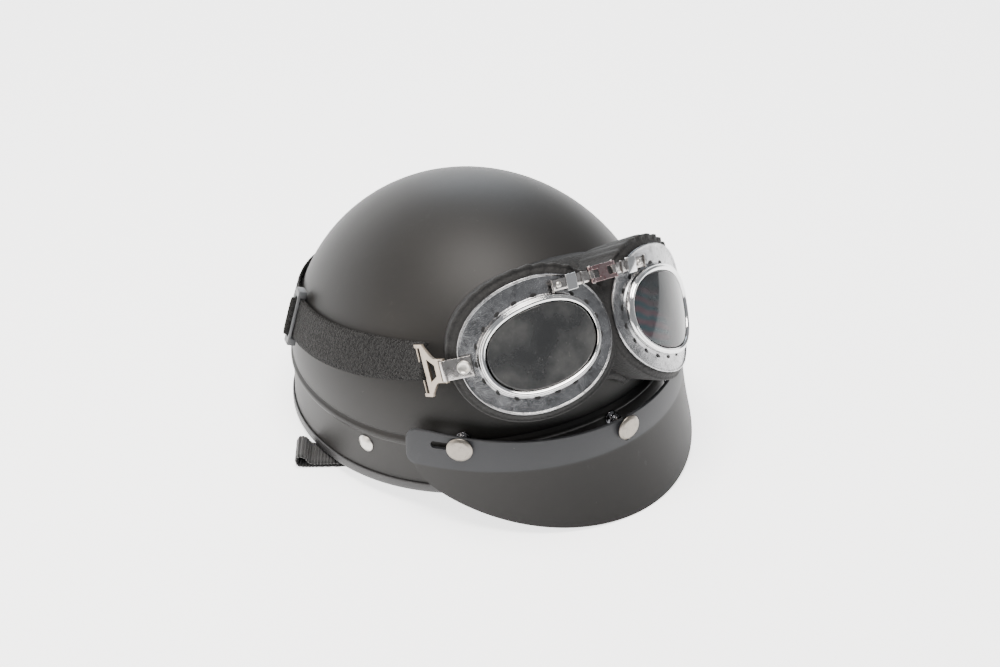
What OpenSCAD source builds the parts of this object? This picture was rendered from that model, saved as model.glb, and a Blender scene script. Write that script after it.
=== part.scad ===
// Open-face half helmet with a tilting peak held by snap caps and a pair of aviator goggles strapped round it.
// The wearer faces -Y, +X is the wearer's left and +Z is up. The helmet rests on the plane z = 0
// on its rear rim and the tip of its peak.

/* [Shell] */
// Width of the shell at its widest ring
shell_w = 240; // [200:1:288]
// Length of the shell from forehead to nape
shell_l = 270; // [225:1:324]
// Height of the crown above the side rim
crown_h = 157; // [131:1:188]
// Thickness of the shell wall
shell_t = 3; // [2.4:0.1:4]
// Height of the widest ring above the side rim
widest_z = 30.5; // [26:0.5:36]
// How far the rim climbs over the forehead
rim_rise = 12; // [6:0.5:16]
// How far the rim flares out, as a share of the half width
rim_flare = 0.012; // [0:0.002:0.03]
// Height of the raised bead above the rim
bead_z = 34.6; // [30:0.2:38]
// How far the bead stands out
bead_h = 1.3; // [0.8:0.1:2]

/* [Lining] */
// Thickness of the foam liner
foam_t = 19; // [15:0.5:24]
// Thickness of the comfort pads
comfort_t = 7; // [4:0.5:10]

/* [Peak] */
// Thickness of the peak's plastic
peak_t = 2.2; // [1.8:0.1:3]
// Gap between the shell and the band over the forehead
band_gap = 14; // [11:0.5:18]
// Gap between the shell and the band at its side tabs
tab_gap = 9; // [8:0.5:12]
// Height of the crease between band and bill
crease_z = 30.5; // [28:0.5:33]
// Height of the band at the forehead
band_h = 19; // [17:0.5:24]
// Height of the bill's tip below the side rim
bill_drop = 14.3; // [10:0.1:18]
// How far the bill's tip stands out from the shell
bill_reach = 25.5; // [20:0.5:34]
// Angle round the shell at which the band ends
tab_angle = 62; // [60:0.5:64]

/* [Snaps] */
// Angle round the shell of each side snap
snap_angle = 46.6; // [44:0.2:49]
// Diameter of a snap's cap
cap_d = 17; // [15:0.5:18]
// Diameter of a snap's neck, which passes through the band's slots
neck_d = 4.2; // [3.6:0.1:5]
// Diameter of the stud's head that the cap grips
stud_head_d = 2.8; // [2.4:0.1:3.2]
// Length of each side slot in the band
slot_l = 15; // [12:0.5:18]

/* [Goggles] */
// Half length of a frame along its long axis
frame_a = 49.8; // [41.6:0.2:53]
// Half height of a frame
frame_b = 41.9; // [38:0.2:45]
// Half length of a lens
lens_a = 37.1; // [34:0.2:39]
// Half height of a lens
lens_b = 26; // [24:0.2:28]
// Thickness of the pressed frame plate
plate_t = 1.2; // [0.8:0.1:1.6]
// How far a lens stands forward of its frame
lens_rise = 5.9; // [4:0.1:8]
// Turn of the goggles to one side, where they sit slightly askew
askew_turn = -2.5; // [-4:0.5:4]
// Roll of the goggles, where they sit slightly askew
askew_roll = 8; // [0:0.5:9]

/* [Straps] */
// Width of the elastic goggle strap
strap_w = 28; // [25:0.2:33.6]
// Thickness of one layer of elastic
elastic_t = 1.5; // [1.2:0.1:2]
// Width of the chin strap's webbing
webbing_w = 24; // [20:0.5:26]
// Thickness of the webbing
webbing_t = 1.6; // [1.2:0.1:2]

/* [Hidden] */
$fn = 48;

half_w = shell_w / 2;
half_l = shell_l / 2;
clear = 0.6;
skin_gap = 0.3;
trim_t = 1.4;
trim_low = 1.4;
trim_h = 5;

// ---- the shell's surface ----

// Share of the full outline at height z, on a surface that stands off the shell by off.
function outline_share(z, off) =
    z >= widest_z
        ? sqrt(max(0, 1 - pow((z - widest_z) / (crown_h - widest_z + off), 2)))
        : 1 + rim_flare * pow(1 - z / widest_z, 2);
// Point at angle a from the forehead, positive towards the wearer's left.
function wall(a, z, off) =
    let (k = outline_share(z, off))
    [(half_w + off) * k * sin(a), -(half_l + off) * k * cos(a), z];
function rim_z(a) = cos(a) > 0 ? rim_rise * pow(cos(a), 2) : 0;
// The rim's rise fades out above the bead.
function rise_share(h) = min(1, max(0, 1 - (h - bead_z - 4) / 60));
function wall_row(h, off, cols) =
    [for (i = [0 : cols - 1]) let (a = i * 360 / cols) wall(a, h + rim_z(a) * rise_share(h), off)];
function dome_z(level, off = 0) = widest_z + (crown_h - widest_z + off) * sin(level);
// Outward direction of the wall at p.
function unit(v) = v / norm(v);
function outward(p) =
    unit([p.x / pow(half_w, 2), p.y / pow(half_l, 2),
        max(0, p.z - widest_z) / pow(crown_h - widest_z, 2)]);
// Where a ray from p along d first meets the surface that stands off the shell by off.
function meet(p, d, off) =
    let (
        s = [half_w + off, half_l + off, crown_h - widest_z + off],
        q = [p.x / s.x, p.y / s.y, (p.z - widest_z) / s.z],
        e = [d.x / s.x, d.y / s.y, d.z / s.z],
        b = q * e,
        root = sqrt(max(0, b * b - (e * e) * (q * q - 1)))
    )
    p + d * (-b - root) / (e * e);

// ---- building blocks ----

// Two triangles for each four-cornered face.
function split(quads) = [for (q = quads) each [[q[0], q[1], q[2]], [q[0], q[2], q[3]]]];

// Closed skin between an outer and an inner stack of rows, each stack ending in a pole.
module bowl(outer, outer_pole, inner, inner_pole) {
    n = len(outer[0]);
    p = len(outer);
    q = len(inner);
    in0 = p * n + 1;
    quads = concat(
        [for (j = [0 : p - 2], i = [0 : n - 1])
            [j * n + i, (j + 1) * n + i, (j + 1) * n + (i + 1) % n, j * n + (i + 1) % n]],
        [for (j = [0 : q - 2], i = [0 : n - 1])
            [in0 + j * n + i, in0 + (j + 1) * n + i, in0 + (j + 1) * n + (i + 1) % n, in0 + j * n + (i + 1) % n]],
        [for (i = [0 : n - 1]) [in0 + (q - 1) * n + i, i, (i + 1) % n, in0 + (q - 1) * n + (i + 1) % n]]
    );
    poles = concat(
        [for (i = [0 : n - 1]) [(p - 1) * n + i, p * n, (p - 1) * n + (i + 1) % n]],
        [for (i = [0 : n - 1]) [in0 + q * n, in0 + i, in0 + (i + 1) % n]]
    );
    points = concat([for (r = outer) each r], [outer_pole], [for (r = inner) each r], [inner_pole]);
    polyhedron(points, concat(split(quads), poles));
}

// Solid through a run of sections, closed into a ring or capped at its ends. Each section goes out along
// one face and back along the other, with an even number of points.
module loft(sections, ring = false) {
    m = len(sections[0]);
    n = len(sections);
    last = (n - 1) * m;
    spans = ring ? n : n - 1;
    sides = [for (k = [0 : spans - 1], j = [0 : m - 1])
        let (k2 = (k + 1) % n, j2 = (j + 1) % m)
        [k * m + j, k * m + j2, k2 * m + j2, k2 * m + j]];
    caps = ring ? [] : [for (j = [0 : m / 2 - 2]) each [
        [m - 1 - j, m - 2 - j, j + 1, j],
        [last + j, last + j + 1, last + m - 2 - j, last + m - 1 - j]
    ]];
    polyhedron([for (s = sections) each s], split(concat(sides, caps)));
}

// Puts children with their X, Y and Z along three unit vectors at a point.
module set_at(p, x, y, z) {
    multmatrix([
        [x.x, y.x, z.x, p.x],
        [x.y, y.y, z.y, p.y],
        [x.z, y.z, z.z, p.z]
    ]) children();
}

// Puts children with their Z along the direction d at p.
module aim(p, d) {
    u = unit(d);
    translate(p) rotate([0, acos(u.z), atan2(u.y, u.x)]) children();
}

// ---- where the helmet rests ----

rear_y = (half_l + trim_t) * (1 + rim_flare * pow(1 + trim_low / widest_z, 2));
tip_y = -(half_l + bill_reach) * (1 + rim_flare * pow(1 + bill_drop / widest_z, 2));
rest_tilt = atan((bill_drop - trim_low) / (rear_y - tip_y));
lift_z = rear_y * sin(rest_tilt) + trim_low * cos(rest_tilt);
module stand() {
    translate([0, 0, lift_z]) rotate([-rest_tilt, 0, 0]) children();
}
// Height of the floor below a point of the upright helmet's frame, at distance y from its centre.
function floor_z(y) = (y * sin(rest_tilt) - lift_z) / cos(rest_tilt);

// ---- shell and lining ----

shell_cols = 72;
bead_rows = [[-2.6, 0], [-1.3, 0.85], [0, 1], [1.3, 0.85], [2.6, 0]];
module outer_shell() {
    outer = concat(
        [for (h = [0, 7, 20]) wall_row(h, 0, shell_cols)],
        [for (b = bead_rows) wall_row(bead_z + b[0], b[1] * bead_h, shell_cols)],
        [for (level = [9, 15, 22, 30, 39, 48, 57, 66, 74, 82]) wall_row(dome_z(level), 0, shell_cols)]
    );
    inner = concat(
        [for (level = [81, 72, 63, 54, 45, 36, 27, 18, 9]) wall_row(dome_z(level, -shell_t), -shell_t, shell_cols)],
        [for (h = [30, 15, 0]) wall_row(h, -shell_t, shell_cols)]
    );
    color([0.2, 0.2, 0.21]) stand() difference() {
        bowl(outer, [0, 0, crown_h], inner, [0, 0, crown_h - shell_t]);
        for (side = [-1, 1]) rivet_place(side) cylinder(d = rivet_shank_d, h = 30, center = true);
        for (s = snap_sides) snap_place(s) cylinder(d = stud_shank_d, h = 24, center = true);
    }
}

module edge_trim() {
    section = [[trim_t, -trim_low], [trim_t, trim_h], [skin_gap, trim_h], [skin_gap, -skin_gap],
        [-shell_t - skin_gap, -skin_gap], [-shell_t - skin_gap, trim_h],
        [-shell_t - trim_t, trim_h], [-shell_t - trim_t, -trim_low]];
    color([0.15, 0.15, 0.16]) stand() loft([for (i = [0 : shell_cols - 1])
        let (a = i * 360 / shell_cols)
        [for (s = section) wall(a, rim_z(a) + s[1], s[0]) ]], true);
}

foam_out = -shell_t - 0.8;
foam_in = foam_out - foam_t;
foam_low = 16;
// The foam is cut back low down to leave room for the chin strap's ends.
foam_step = 38;
foam_cut = 6;
module foam_liner() {
    outer = [for (h = concat([foam_low, foam_step], [for (level = [14, 26, 38, 50, 61, 72, 82]) dome_z(level, foam_out)]))
        wall_row(h, foam_out - (h <= foam_step ? foam_cut : 0), 48)];
    inner = [for (h = concat([for (level = [80, 70, 60, 49, 38, 27, 16, 6]) dome_z(level, foam_in)], [foam_low]))
        wall_row(h, foam_in, 48)];
    color([0.08, 0.08, 0.09]) stand()
        bowl(outer, [0, 0, crown_h + foam_out], inner, [0, 0, crown_h + foam_in]);
}

pad_out = foam_in - 0.9;
pad_in = pad_out - comfort_t;
band_low = foam_low + 1;
band_high = 58;
module headband_pad() {
    arc = 118;
    section = [[pad_out, band_high], [pad_in + 2, band_high], [pad_in, band_high - 5],
        [pad_in, band_low + 5], [pad_in + 2, band_low], [pad_out, band_low]];
    color([0.1, 0.1, 0.11]) stand() loft([for (i = [0 : 40])
        let (a = i * arc / 20 - arc)
        [for (s = section) wall(a, rim_z(a) * rise_share(s[1]) + s[1], s[0])]]);
}

module nape_pad() {
    arc = 50;
    section = [[pad_out, band_high], [pad_in + 2, band_high], [pad_in - 2, band_high - 9],
        [pad_in - 2, band_low + 6], [pad_in + 1, band_low], [pad_out, band_low]];
    color([0.1, 0.1, 0.11]) stand() loft([for (i = [0 : 16])
        let (a = 180 - arc + i * arc / 8)
        [for (s = section) wall(a, s[1], s[0])]]);
}

module crown_pad() {
    outer = [for (level = [34, 46, 58, 70, 82]) wall_row(dome_z(level, pad_out), pad_out, 36)];
    inner = [for (level = [80, 66, 52, 37]) wall_row(dome_z(level, pad_in), pad_in, 36)];
    color([0.1, 0.1, 0.11]) stand()
        bowl(outer, [0, 0, crown_h + pad_out], inner, [0, 0, crown_h + pad_in]);
}

// ---- chin strap rivets ----

rivet_angle = 78;
rivet_z = 25;
rivet_head_d = 12;
rivet_head_h = 2.4;
rivet_shank_d = 4;
washer_d = 14;
washer_t = 1.2;
// Depth of the webbing's middle below the shell's inner wall, and of the shank's end below its outer one.
webbing_in = 1.3 + webbing_t / 2;
rivet_reach = shell_t + webbing_in + webbing_t / 2 + 0.5 + washer_t + 0.6;
module rivet_place(side) {
    p = wall(side * rivet_angle, rivet_z, 0);
    aim(p, outward(p)) children();
}
module dome_head(d, h) {
    r = (d * d / 4 + h * h) / (2 * h);
    intersection() {
        translate([0, 0, h - r]) sphere(r = r);
        cylinder(d = d, h = h);
    }
}
module strap_rivets() {
    color([0.75, 0.74, 0.71]) stand() for (side = [-1, 1]) rivet_place(side) {
        translate([0, 0, 0.15]) dome_head(rivet_head_d, rivet_head_h);
        translate([0, 0, -rivet_reach]) cylinder(d = rivet_shank_d - 0.1, h = rivet_reach + 0.2);
    }
}
module rivet_washers() {
    color([0.7, 0.7, 0.68]) stand() for (side = [-1, 1]) rivet_place(side)
        translate([0, 0, 0.6 - rivet_reach]) difference() {
            cylinder(d = washer_d, h = washer_t);
            translate([0, 0, -1]) cylinder(d = rivet_shank_d, h = washer_t + 2);
        }
}

// ---- peak and its snaps ----

snap_sides = [-1, 0, 1];
snap_z = 46.8;
front_snap_z = 43;
stud_shank_d = 3.4;
stud_base_d = 9;
cap_t = 2.2;
snap_gap = 1.5;
function snap_point(s) = wall(s * snap_angle, s == 0 ? front_snap_z : snap_z, 0);
// The snaps point straight out from the shell, level with its rim.
function snap_dir(s) = unit([outward(snap_point(s)).x, outward(snap_point(s)).y, 0]);
// Reach of the band's outer face along each snap.
function snap_reach(s) = (s == 0 ? band_gap : gap_at(snap_angle)) + peak_t;
module snap_place(s) {
    aim(snap_point(s), snap_dir(s)) rotate([0, 0, 90]) children();
}
// Stud with a base flange, a stem and rings, and the ball that the cap's socket grips.
module snap_stud(s) {
    reach = snap_reach(s);
    snap_place(s) {
        translate([0, 0, -shell_t - 2]) cylinder(d = stud_shank_d - 0.1, h = shell_t + 3);
        translate([0, 0, 0.9]) cylinder(d = stud_base_d, h = 1.2);
        translate([0, 0, 0.9]) cylinder(d = 5, h = 3);
        translate([0, 0, 0.9]) cylinder(d = stud_head_d, h = reach - 2.4);
        if (s == 0)
            for (z = [4.6, 7.4]) translate([0, 0, z]) cylinder(d = 7.6, h = 1.2);
    }
}
module side_snap_studs() {
    color([0.5, 0.5, 0.5]) stand() for (s = [-1, 1]) snap_stud(s);
}
module front_snap_stud() {
    color([0.35, 0.35, 0.36]) stand() snap_stud(0);
}
// Flat cap with a bevelled edge, a neck through the slot and a socket that grips the stud.
module snap_cap(s) {
    reach = snap_reach(s);
    face = reach + snap_gap;
    socket = reach - peak_t - 2.2;
    color([0.62, 0.6, 0.57]) stand() snap_place(s) rotate_extrude() polygon([
        [stud_head_d / 2 + 0.1, socket], [neck_d / 2, socket], [neck_d / 2, face], [cap_d / 2, face],
        [cap_d / 2, face + cap_t - 0.9], [cap_d / 2 - 1.2, face + cap_t - 0.2], [0, face + cap_t],
        [0, reach - 0.9], [stud_head_d / 2 + 0.1, reach - 0.9]
    ]);
}
module snap_cap_right() { snap_cap(-1); }
module snap_cap_front() { snap_cap(0); }
module snap_cap_left() { snap_cap(1); }

// Gap of the band from the shell at angle a, widest over the forehead.
function gap_at(a) = tab_gap + (band_gap - tab_gap) * pow(max(0, cos(a * 90 / tab_angle)), 1.2);
tab_round = 8;
// How far the band has rounded off towards its end, 0 in its middle and 1 at its end.
function end_share(a) =
    let (past = (abs(a) - tab_angle) * 2.15 + tab_round)
    past <= 0 ? 0 : 1 - sqrt(max(0, 1 - pow(past / tab_round, 2)));
function band_top(a) =
    crease_z + band_h + 5.6 * pow(min(1, abs(a) / 55), 2) - tab_round * end_share(a);
function band_low_z(a) = crease_z - 2 + tab_round * end_share(a);
function bill_share(a) = max(0, cos(a * 90 / (tab_angle - 2.5)));
function bill_point(a, share, off) =
    let (
        w = bill_share(a),
        tip_off = tab_gap + (bill_reach - tab_gap) * pow(w, 1.6),
        tip_z = band_low_z(a) - (crease_z - 2 + bill_drop) * pow(w, 0.54),
        top_z = crease_z * min(1, w * 4) + band_low_z(a) * (1 - min(1, w * 4))
    )
    wall(a, top_z + (tip_z - top_z) * share, gap_at(a) + (tip_off - gap_at(a)) * share + off);
module peak() {
    steps = 62;
    angles = [for (i = [0 : steps]) tab_angle * sin(90 * (1 - 2 * i / steps))];
    shares = [0.05, 0.3, 0.65, 1];
    color([0.22, 0.22, 0.23]) stand() difference() {
        loft([for (a = angles)
            let (
                g = gap_at(a),
                t = peak_t * (1 - 0.35 * end_share(a)),
                top = band_top(a),
                mid = (top + crease_z) / 2
            )
            concat(
                [wall(a, top, g + t), wall(a, mid, g + t)],
                [for (s = shares) bill_point(a, s, t)],
                [for (i = [3 : -1 : 0]) bill_point(a, shares[i], 0)],
                [wall(a, mid, g), wall(a, top, g)]
            )]);
        for (s = [-1, 1]) snap_place(s) side_slot(s);
        snap_place(0) front_slot();
    }
}
// Level slot, rounded at its ends, that runs from the snap towards the ear.
module side_slot(s) {
    w = neck_d + 0.8;
    for (x = [0, slot_l - w]) translate([-s * (x - 1), 0, 4]) cylinder(d = w, h = 14);
    translate([-s * (slot_l - w) / 2 - (slot_l - w) / 2 + s, -w / 2, 4]) cube([slot_l - w, w, 14]);
}
// Upright slot that lets the forehead snap ride up and down as the peak tilts.
module front_slot() {
    w = neck_d + 0.8;
    for (y = [-5.5, 5.5]) translate([0, y, 8]) cylinder(d = w, h = 14);
    translate([-w / 2, -5.5, 8]) cube([w, 11, 14]);
}

// ---- goggles, in their own upright frame ----

askew_centre = [0, 0, 60];
module on_goggles() {
    stand() translate(askew_centre) rotate([0, askew_roll, askew_turn]) translate(-askew_centre) children();
}
// A point of the goggles' frame in the helmet's frame.
function turned(q) =
    let (x = q.x * cos(askew_roll) + q.z * sin(askew_roll), z = q.z * cos(askew_roll) - q.x * sin(askew_roll))
    [x * cos(askew_turn) - q.y * sin(askew_turn), x * sin(askew_turn) + q.y * cos(askew_turn), z];
function placed(p) = askew_centre + turned(p - askew_centre);
function mirrored(p, side) = side < 0 ? p : [-p.x, p.y, p.z];

// The right frame's centre and axes: face_n out of the lens, face_r towards the nose, face_u up.
face_centre = [-51 * half_w / 120, -126 * half_l / 135, widest_z + 77 * (crown_h - widest_z) / 126.5];
face_turn = 27.2;
face_lean = 23.7;
long_turn = 22;
face_n = [-sin(face_turn) * cos(face_lean), -cos(face_turn) * cos(face_lean), sin(face_lean)];
level_r = [cos(face_turn), -sin(face_turn), 0];
level_u = cross(face_n, level_r);
face_r = cos(long_turn) * level_r + sin(long_turn) * level_u;
face_u = cos(long_turn) * level_u - sin(long_turn) * level_r;
// The frames are bent round the face.
face_bow = 0.00405;
function face_point(x, y, off) = face_centre + x * face_r + y * face_u + (off - face_bow * x * x) * face_n;
function oval(t, a, b, power) =
    [a * sign(cos(t)) * pow(abs(cos(t)), 2 / power), b * sign(sin(t)) * pow(abs(sin(t)), 2 / power)];
lens_shift = [1.9, -1.6];
// Point of the plate at angle t, from the lens's edge at share 0 to the frame's edge at share 1.
function plate_point(t, share, off) =
    let (
        inner = oval(t, lens_a, lens_b, 2.21) + lens_shift,
        outer = oval(t, frame_a, frame_b, 2.15),
        q = inner + (outer - inner) * share
    )
    face_point(q.x, q.y, off);
frame_cols = 48;
module plate_ring(section) {
    loft([for (i = [0 : frame_cols - 1]) let (t = i * 360 / frame_cols)
        [for (s = section) plate_point(t, s[0], s[1])]], true);
}
module for_side(side) {
    if (side < 0) children();
    else mirror([1, 0, 0]) children();
}
module goggle_frame(side) {
    color([0.75, 0.75, 0.76]) on_goggles() for_side(side) difference() {
        plate_ring([[1, 0], [1, 2.1], [0.92, 2.1], [0.88, plate_t], [0.22, plate_t],
            [0.16, 2.8], [0.04, 2.8], [0.04, 0]]);
        bracket_place() cylinder(d = bracket_rivet_shank, h = 12, center = true);
        clamp_place() cylinder(d = clamp_rivet_shank, h = 12, center = true);
    }
}
module frame_right() { goggle_frame(-1); }
module frame_left() { goggle_frame(1); }

module lens_ring(side) {
    color([0.8, 0.8, 0.81]) on_goggles() for_side(side)
        plate_ring([[0.2, 3.1], [0.2, lens_rise], [0.12, lens_rise + 1.2], [0.02, lens_rise + 1.2],
            [-0.04, lens_rise + 0.2], [-0.04, 3.1]]);
}
module lens_ring_right() { lens_ring(-1); }
module lens_ring_left() { lens_ring(1); }

lens_t = 1.6;
lens_crown = 1.8;
function lens_row(share, off) =
    [for (i = [0 : frame_cols - 1])
        let (t = i * 360 / frame_cols, q = oval(t, lens_a, lens_b, 2.21) * share + lens_shift)
        face_point(q.x, q.y, off + lens_crown * (1 - share * share))];
module lens(side) {
    rim = 0.955;
    back = lens_rise - 2;
    shares = [rim, 0.7, 0.35];
    color([0.15, 0.15, 0.16, 0.75]) on_goggles() for_side(side)
        bowl([for (s = shares) lens_row(s, back + lens_t)], lens_row(0, back + lens_t)[0],
            [for (i = [2 : -1 : 0]) lens_row(shares[i], back)], lens_row(0, back)[0]);
}
module lens_right() { lens(-1); }
module lens_left() { lens(1); }

// Padded skirt from the frames back to the shell, with an eye opening behind each lens.
pad_clear = 1.2;
function pad_ray(p, side) =
    unit(0.6 * -turned(mirrored(face_n, side)) + 0.4 * unit(askew_centre - p));
function pad_section(t, side) =
    let (
        edge = oval(t, frame_a, frame_b, 2.15),
        grow = function (d) edge + d * (0.72 + 0.28 * sin(t)) * unit(edge),
        front = placed(mirrored(face_point(grow(-1.5).x, grow(-1.5).y, -skin_gap), side)),
        brow = placed(mirrored(face_point(grow(4).x, grow(4).y, -3), side)),
        skirt = placed(mirrored(face_point(grow(6).x, grow(6).y, -3), side)),
        back = meet(skirt, pad_ray(skirt, side), pad_clear),
        hole = oval(t, lens_a + 1.5, lens_b + 1.5, 2.21) + lens_shift,
        eye = placed(mirrored(face_point(hole.x, hole.y, -skin_gap), side)),
        eye_back = meet(eye, pad_ray(eye, side), pad_clear)
    )
    [front, brow, (skirt * 0.45 + back * 0.55) + 1.2 * outward(back), back, eye_back, eye];
// Strip over the nose and the brow that joins the two skirts.
function nose_point(x, z, off) =
    meet(placed([x, -2 * half_l, z * crown_h / 157]), turned([0, 1, 0]), off);
nose_rows = [0.06, 0.26, 0.5, 0.74, 0.93];
module face_pad() {
    steps = 40;
    color([0.07, 0.07, 0.07]) stand() union() {
        for (side = [-1, 1])
            loft([for (i = [0 : steps - 1]) pad_section(side * i * 360 / steps, side)], true);
        loft([for (i = [0 : 8])
            let (x = -28 + 7 * i, low = 72 - 0.022 * x * x, high = 136 - 0.004 * x * x)
            concat([nose_point(x, low, 3)], [for (z = nose_rows) nose_point(x, low + (high - low) * z, 9)],
                [nose_point(x, high, 3), nose_point(x, high, pad_clear)],
                [for (i = [4 : -1 : 0]) nose_point(x, low + (high - low) * nose_rows[i], pad_clear)],
                [nose_point(x, low, pad_clear)])]);
    }
}

// ---- brackets and hooks that hold the strap ----

bracket_x = -46;
bracket_y = 4.5;
bracket_rivet_d = 8.5;
bracket_rivet_shank = 3;
bracket_w = 13;
bracket_t = 1;
bracket_out = unit(face_n + 2 * face_bow * bracket_x * face_r);
bracket_along = unit([-0.705, 0.632, -0.322] - ([-0.705, 0.632, -0.322] * bracket_out) * bracket_out);
bracket_up = cross(bracket_out, bracket_along);
// Z out of the plate and X towards the strap.
module bracket_place() {
    set_at(face_point(bracket_x, bracket_y, 0), bracket_along, bracket_up, bracket_out) children();
}
knuckle_x = 12.5;
knuckle_z = 1.4;
knuckle_r = 2.5;
hook_rod_d = 2.4;
module bracket(side) {
    color([0.7, 0.7, 0.71]) on_goggles() for_side(side) bracket_place() difference() {
        union() {
            translate([-5.5, -bracket_w / 2, 2.4]) cube([knuckle_x + 5.5, bracket_w, bracket_t]);
            translate([knuckle_x, -bracket_w / 2, knuckle_z]) rotate([-90, 0, 0])
                cylinder(r = knuckle_r, h = bracket_w);
        }
        translate([0, 0, 1]) cylinder(d = bracket_rivet_shank, h = 8);
        translate([knuckle_x, -bracket_w / 2 - 1, knuckle_z]) rotate([-90, 0, 0])
            cylinder(d = hook_rod_d + 0.1, h = bracket_w + 2);
    }
}
module bracket_right() { bracket(-1); }
module bracket_left() { bracket(1); }
module bracket_rivets() {
    color([0.72, 0.71, 0.69]) on_goggles() for (side = [-1, 1]) for_side(side) bracket_place() {
        translate([0, 0, 2.4 + bracket_t]) dome_head(bracket_rivet_d, 1.5);
        cylinder(d = bracket_rivet_shank - 0.1, h = 2.6 + bracket_t);
    }
}

// The hook spreads from the rod in the bracket to a bar as wide as the strap.
hook_l = 21;
hook_t = 2;
hook_bar = strap_w + 6;
// Rod between the hook's lips, which the strap's end loops round.
rod_d = 1.6;
rod_x = hook_l + 4;
knuckle_point = face_point(bracket_x, bracket_y, 0) + knuckle_x * bracket_along + knuckle_z * bracket_out;
// The hooks lie along the shell, so a wider shell turns them further out.
hook_raw = [2 * (1 - half_w / 120), 0.9, -0.42];
hook_x = unit(hook_raw - (hook_raw * bracket_up) * bracket_up);
hook_out = cross(hook_x, bracket_up);
module hook_place() {
    set_at(knuckle_point, hook_x, bracket_up, hook_out) children();
}
hook_neck = bracket_w / 2 + 1.2;
hook_half = hook_bar / 2;
lip_w = 2.2;
// Outline of the hook on one side of its middle.
hook_side = [[4, hook_neck], [9, hook_neck], [11.5, hook_neck + 1.4], [14.5, hook_neck + 4.2],
    [hook_l - 3.6, hook_half - lip_w], [hook_l - 2.6, hook_half], [rod_x + 1.4, hook_half],
    [rod_x + 1.4, hook_half - lip_w], [hook_l, hook_half - lip_w]];
module strap_hook(side) {
    color([0.6, 0.57, 0.53]) on_goggles() for_side(side) hook_place() {
        rotate([90, 0, 0]) cylinder(d = hook_rod_d, h = 2 * hook_neck, center = true);
        for (y = [-1, 1])
            translate([-hook_rod_d / 2, y > 0 ? bracket_w / 2 + 0.2 : -hook_neck, -hook_t / 2]) cube([7, 1, hook_t]);
        translate([rod_x, 0, 0]) rotate([90, 0, 0]) cylinder(d = rod_d, h = hook_bar - 1, center = true);
        translate([0, 0, -hook_t / 2]) linear_extrude(hook_t) difference() {
            polygon(concat(hook_side, [for (i = [len(hook_side) - 1 : -1 : 0]) [hook_side[i].x, -hook_side[i].y]]));
            polygon([[9, -3.6], [hook_l - 4.6, -7.5], [hook_l - 4.6, 7.5], [9, 3.6]]);
        }
    }
}
module strap_hook_right() { strap_hook(-1); }
module strap_hook_left() { strap_hook(1); }

// ---- bridge between the frames ----

bridge_w = 7;
bridge_t = 1;
bridge_x = 9;
bridge_out = unit([0, -0.8, 0.6]);
bridge_point = [0, -121.3 * half_l / 135, widest_z + 112 * (crown_h - widest_z) / 126.5] + 2 * bridge_out;
bridge_up = cross(bridge_out, [1, 0, 0]);
clamp_rivet_shank = 2.4;
clamp_out = unit(face_n - 2 * face_bow * 26 * face_r);
clamp_root = face_point(26, 29, 3.9);
clamp_end = bridge_point - bridge_x * [1, 0, 0];
clamp_along = unit(clamp_end - clamp_root);
clamp_up = unit(cross(clamp_out, clamp_along));
clamp_l = norm(clamp_end - clamp_root);
module clamp_place() {
    set_at(clamp_root, clamp_along, clamp_up, cross(clamp_along, clamp_up)) children();
}
module bridge_place() {
    set_at(bridge_point, [1, 0, 0], bridge_up, bridge_out) children();
}
bridge_pin_d = 1.8;
module bridge_clamps() {
    color([0.72, 0.72, 0.73]) on_goggles() for (side = [-1, 1]) for_side(side) {
        difference() {
            union() {
                clamp_place() translate([-5, -bridge_w / 2, -bridge_t / 2]) cube([clamp_l + 2.4, bridge_w, bridge_t]);
                clamp_place() translate([clamp_l - 4, -2.2, -bridge_t / 2]) cube([4, 4.4, bridge_t]);
                bridge_place() translate([-bridge_x, -2.4, 0]) rotate([-90, 0, 0]) cylinder(d = 3.6, h = 4.8);
            }
            bridge_place() translate([-bridge_x, -6, 0]) rotate([-90, 0, 0]) cylinder(d = bridge_pin_d, h = 12);
            clamp_place() cylinder(d = clamp_rivet_shank, h = 9, center = true);
        }
    }
}
module bridge_link() {
    outer_y = 5.2;
    color([0.72, 0.72, 0.73]) on_goggles() bridge_place() difference() {
        union() {
            for (x = [-1, 1], y = [-outer_y, 2.7])
                translate([x * bridge_x, y, 0]) rotate([-90, 0, 0]) cylinder(d = 3.6, h = 2.5);
            for (y = [-outer_y, 2.7]) translate([-bridge_x, y, 0.4]) cube([2 * bridge_x, 2.5, bridge_t]);
            translate([-3.5, -outer_y, 0.4]) cube([7, 2 * outer_y, bridge_t]);
        }
        for (x = [-1, 1]) translate([x * bridge_x, -8, 0]) rotate([-90, 0, 0]) cylinder(d = bridge_pin_d, h = 16);
    }
}
module bridge_pins() {
    color([0.6, 0.6, 0.6]) on_goggles() bridge_place() for (x = [-1, 1])
        translate([x * bridge_x, -5.8, 0]) rotate([-90, 0, 0]) cylinder(d = bridge_pin_d, h = 11.6);
}
module bridge_rivets() {
    color([0.72, 0.71, 0.69]) on_goggles() for (side = [-1, 1]) for_side(side) clamp_place() {
        translate([0, 0, bridge_t / 2]) dome_head(4, 0.8);
        translate([0, 0, -3.8]) cylinder(d = clamp_rivet_shank - 0.1, h = 4.4);
    }
}

// ---- elastic strap round the shell ----

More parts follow.
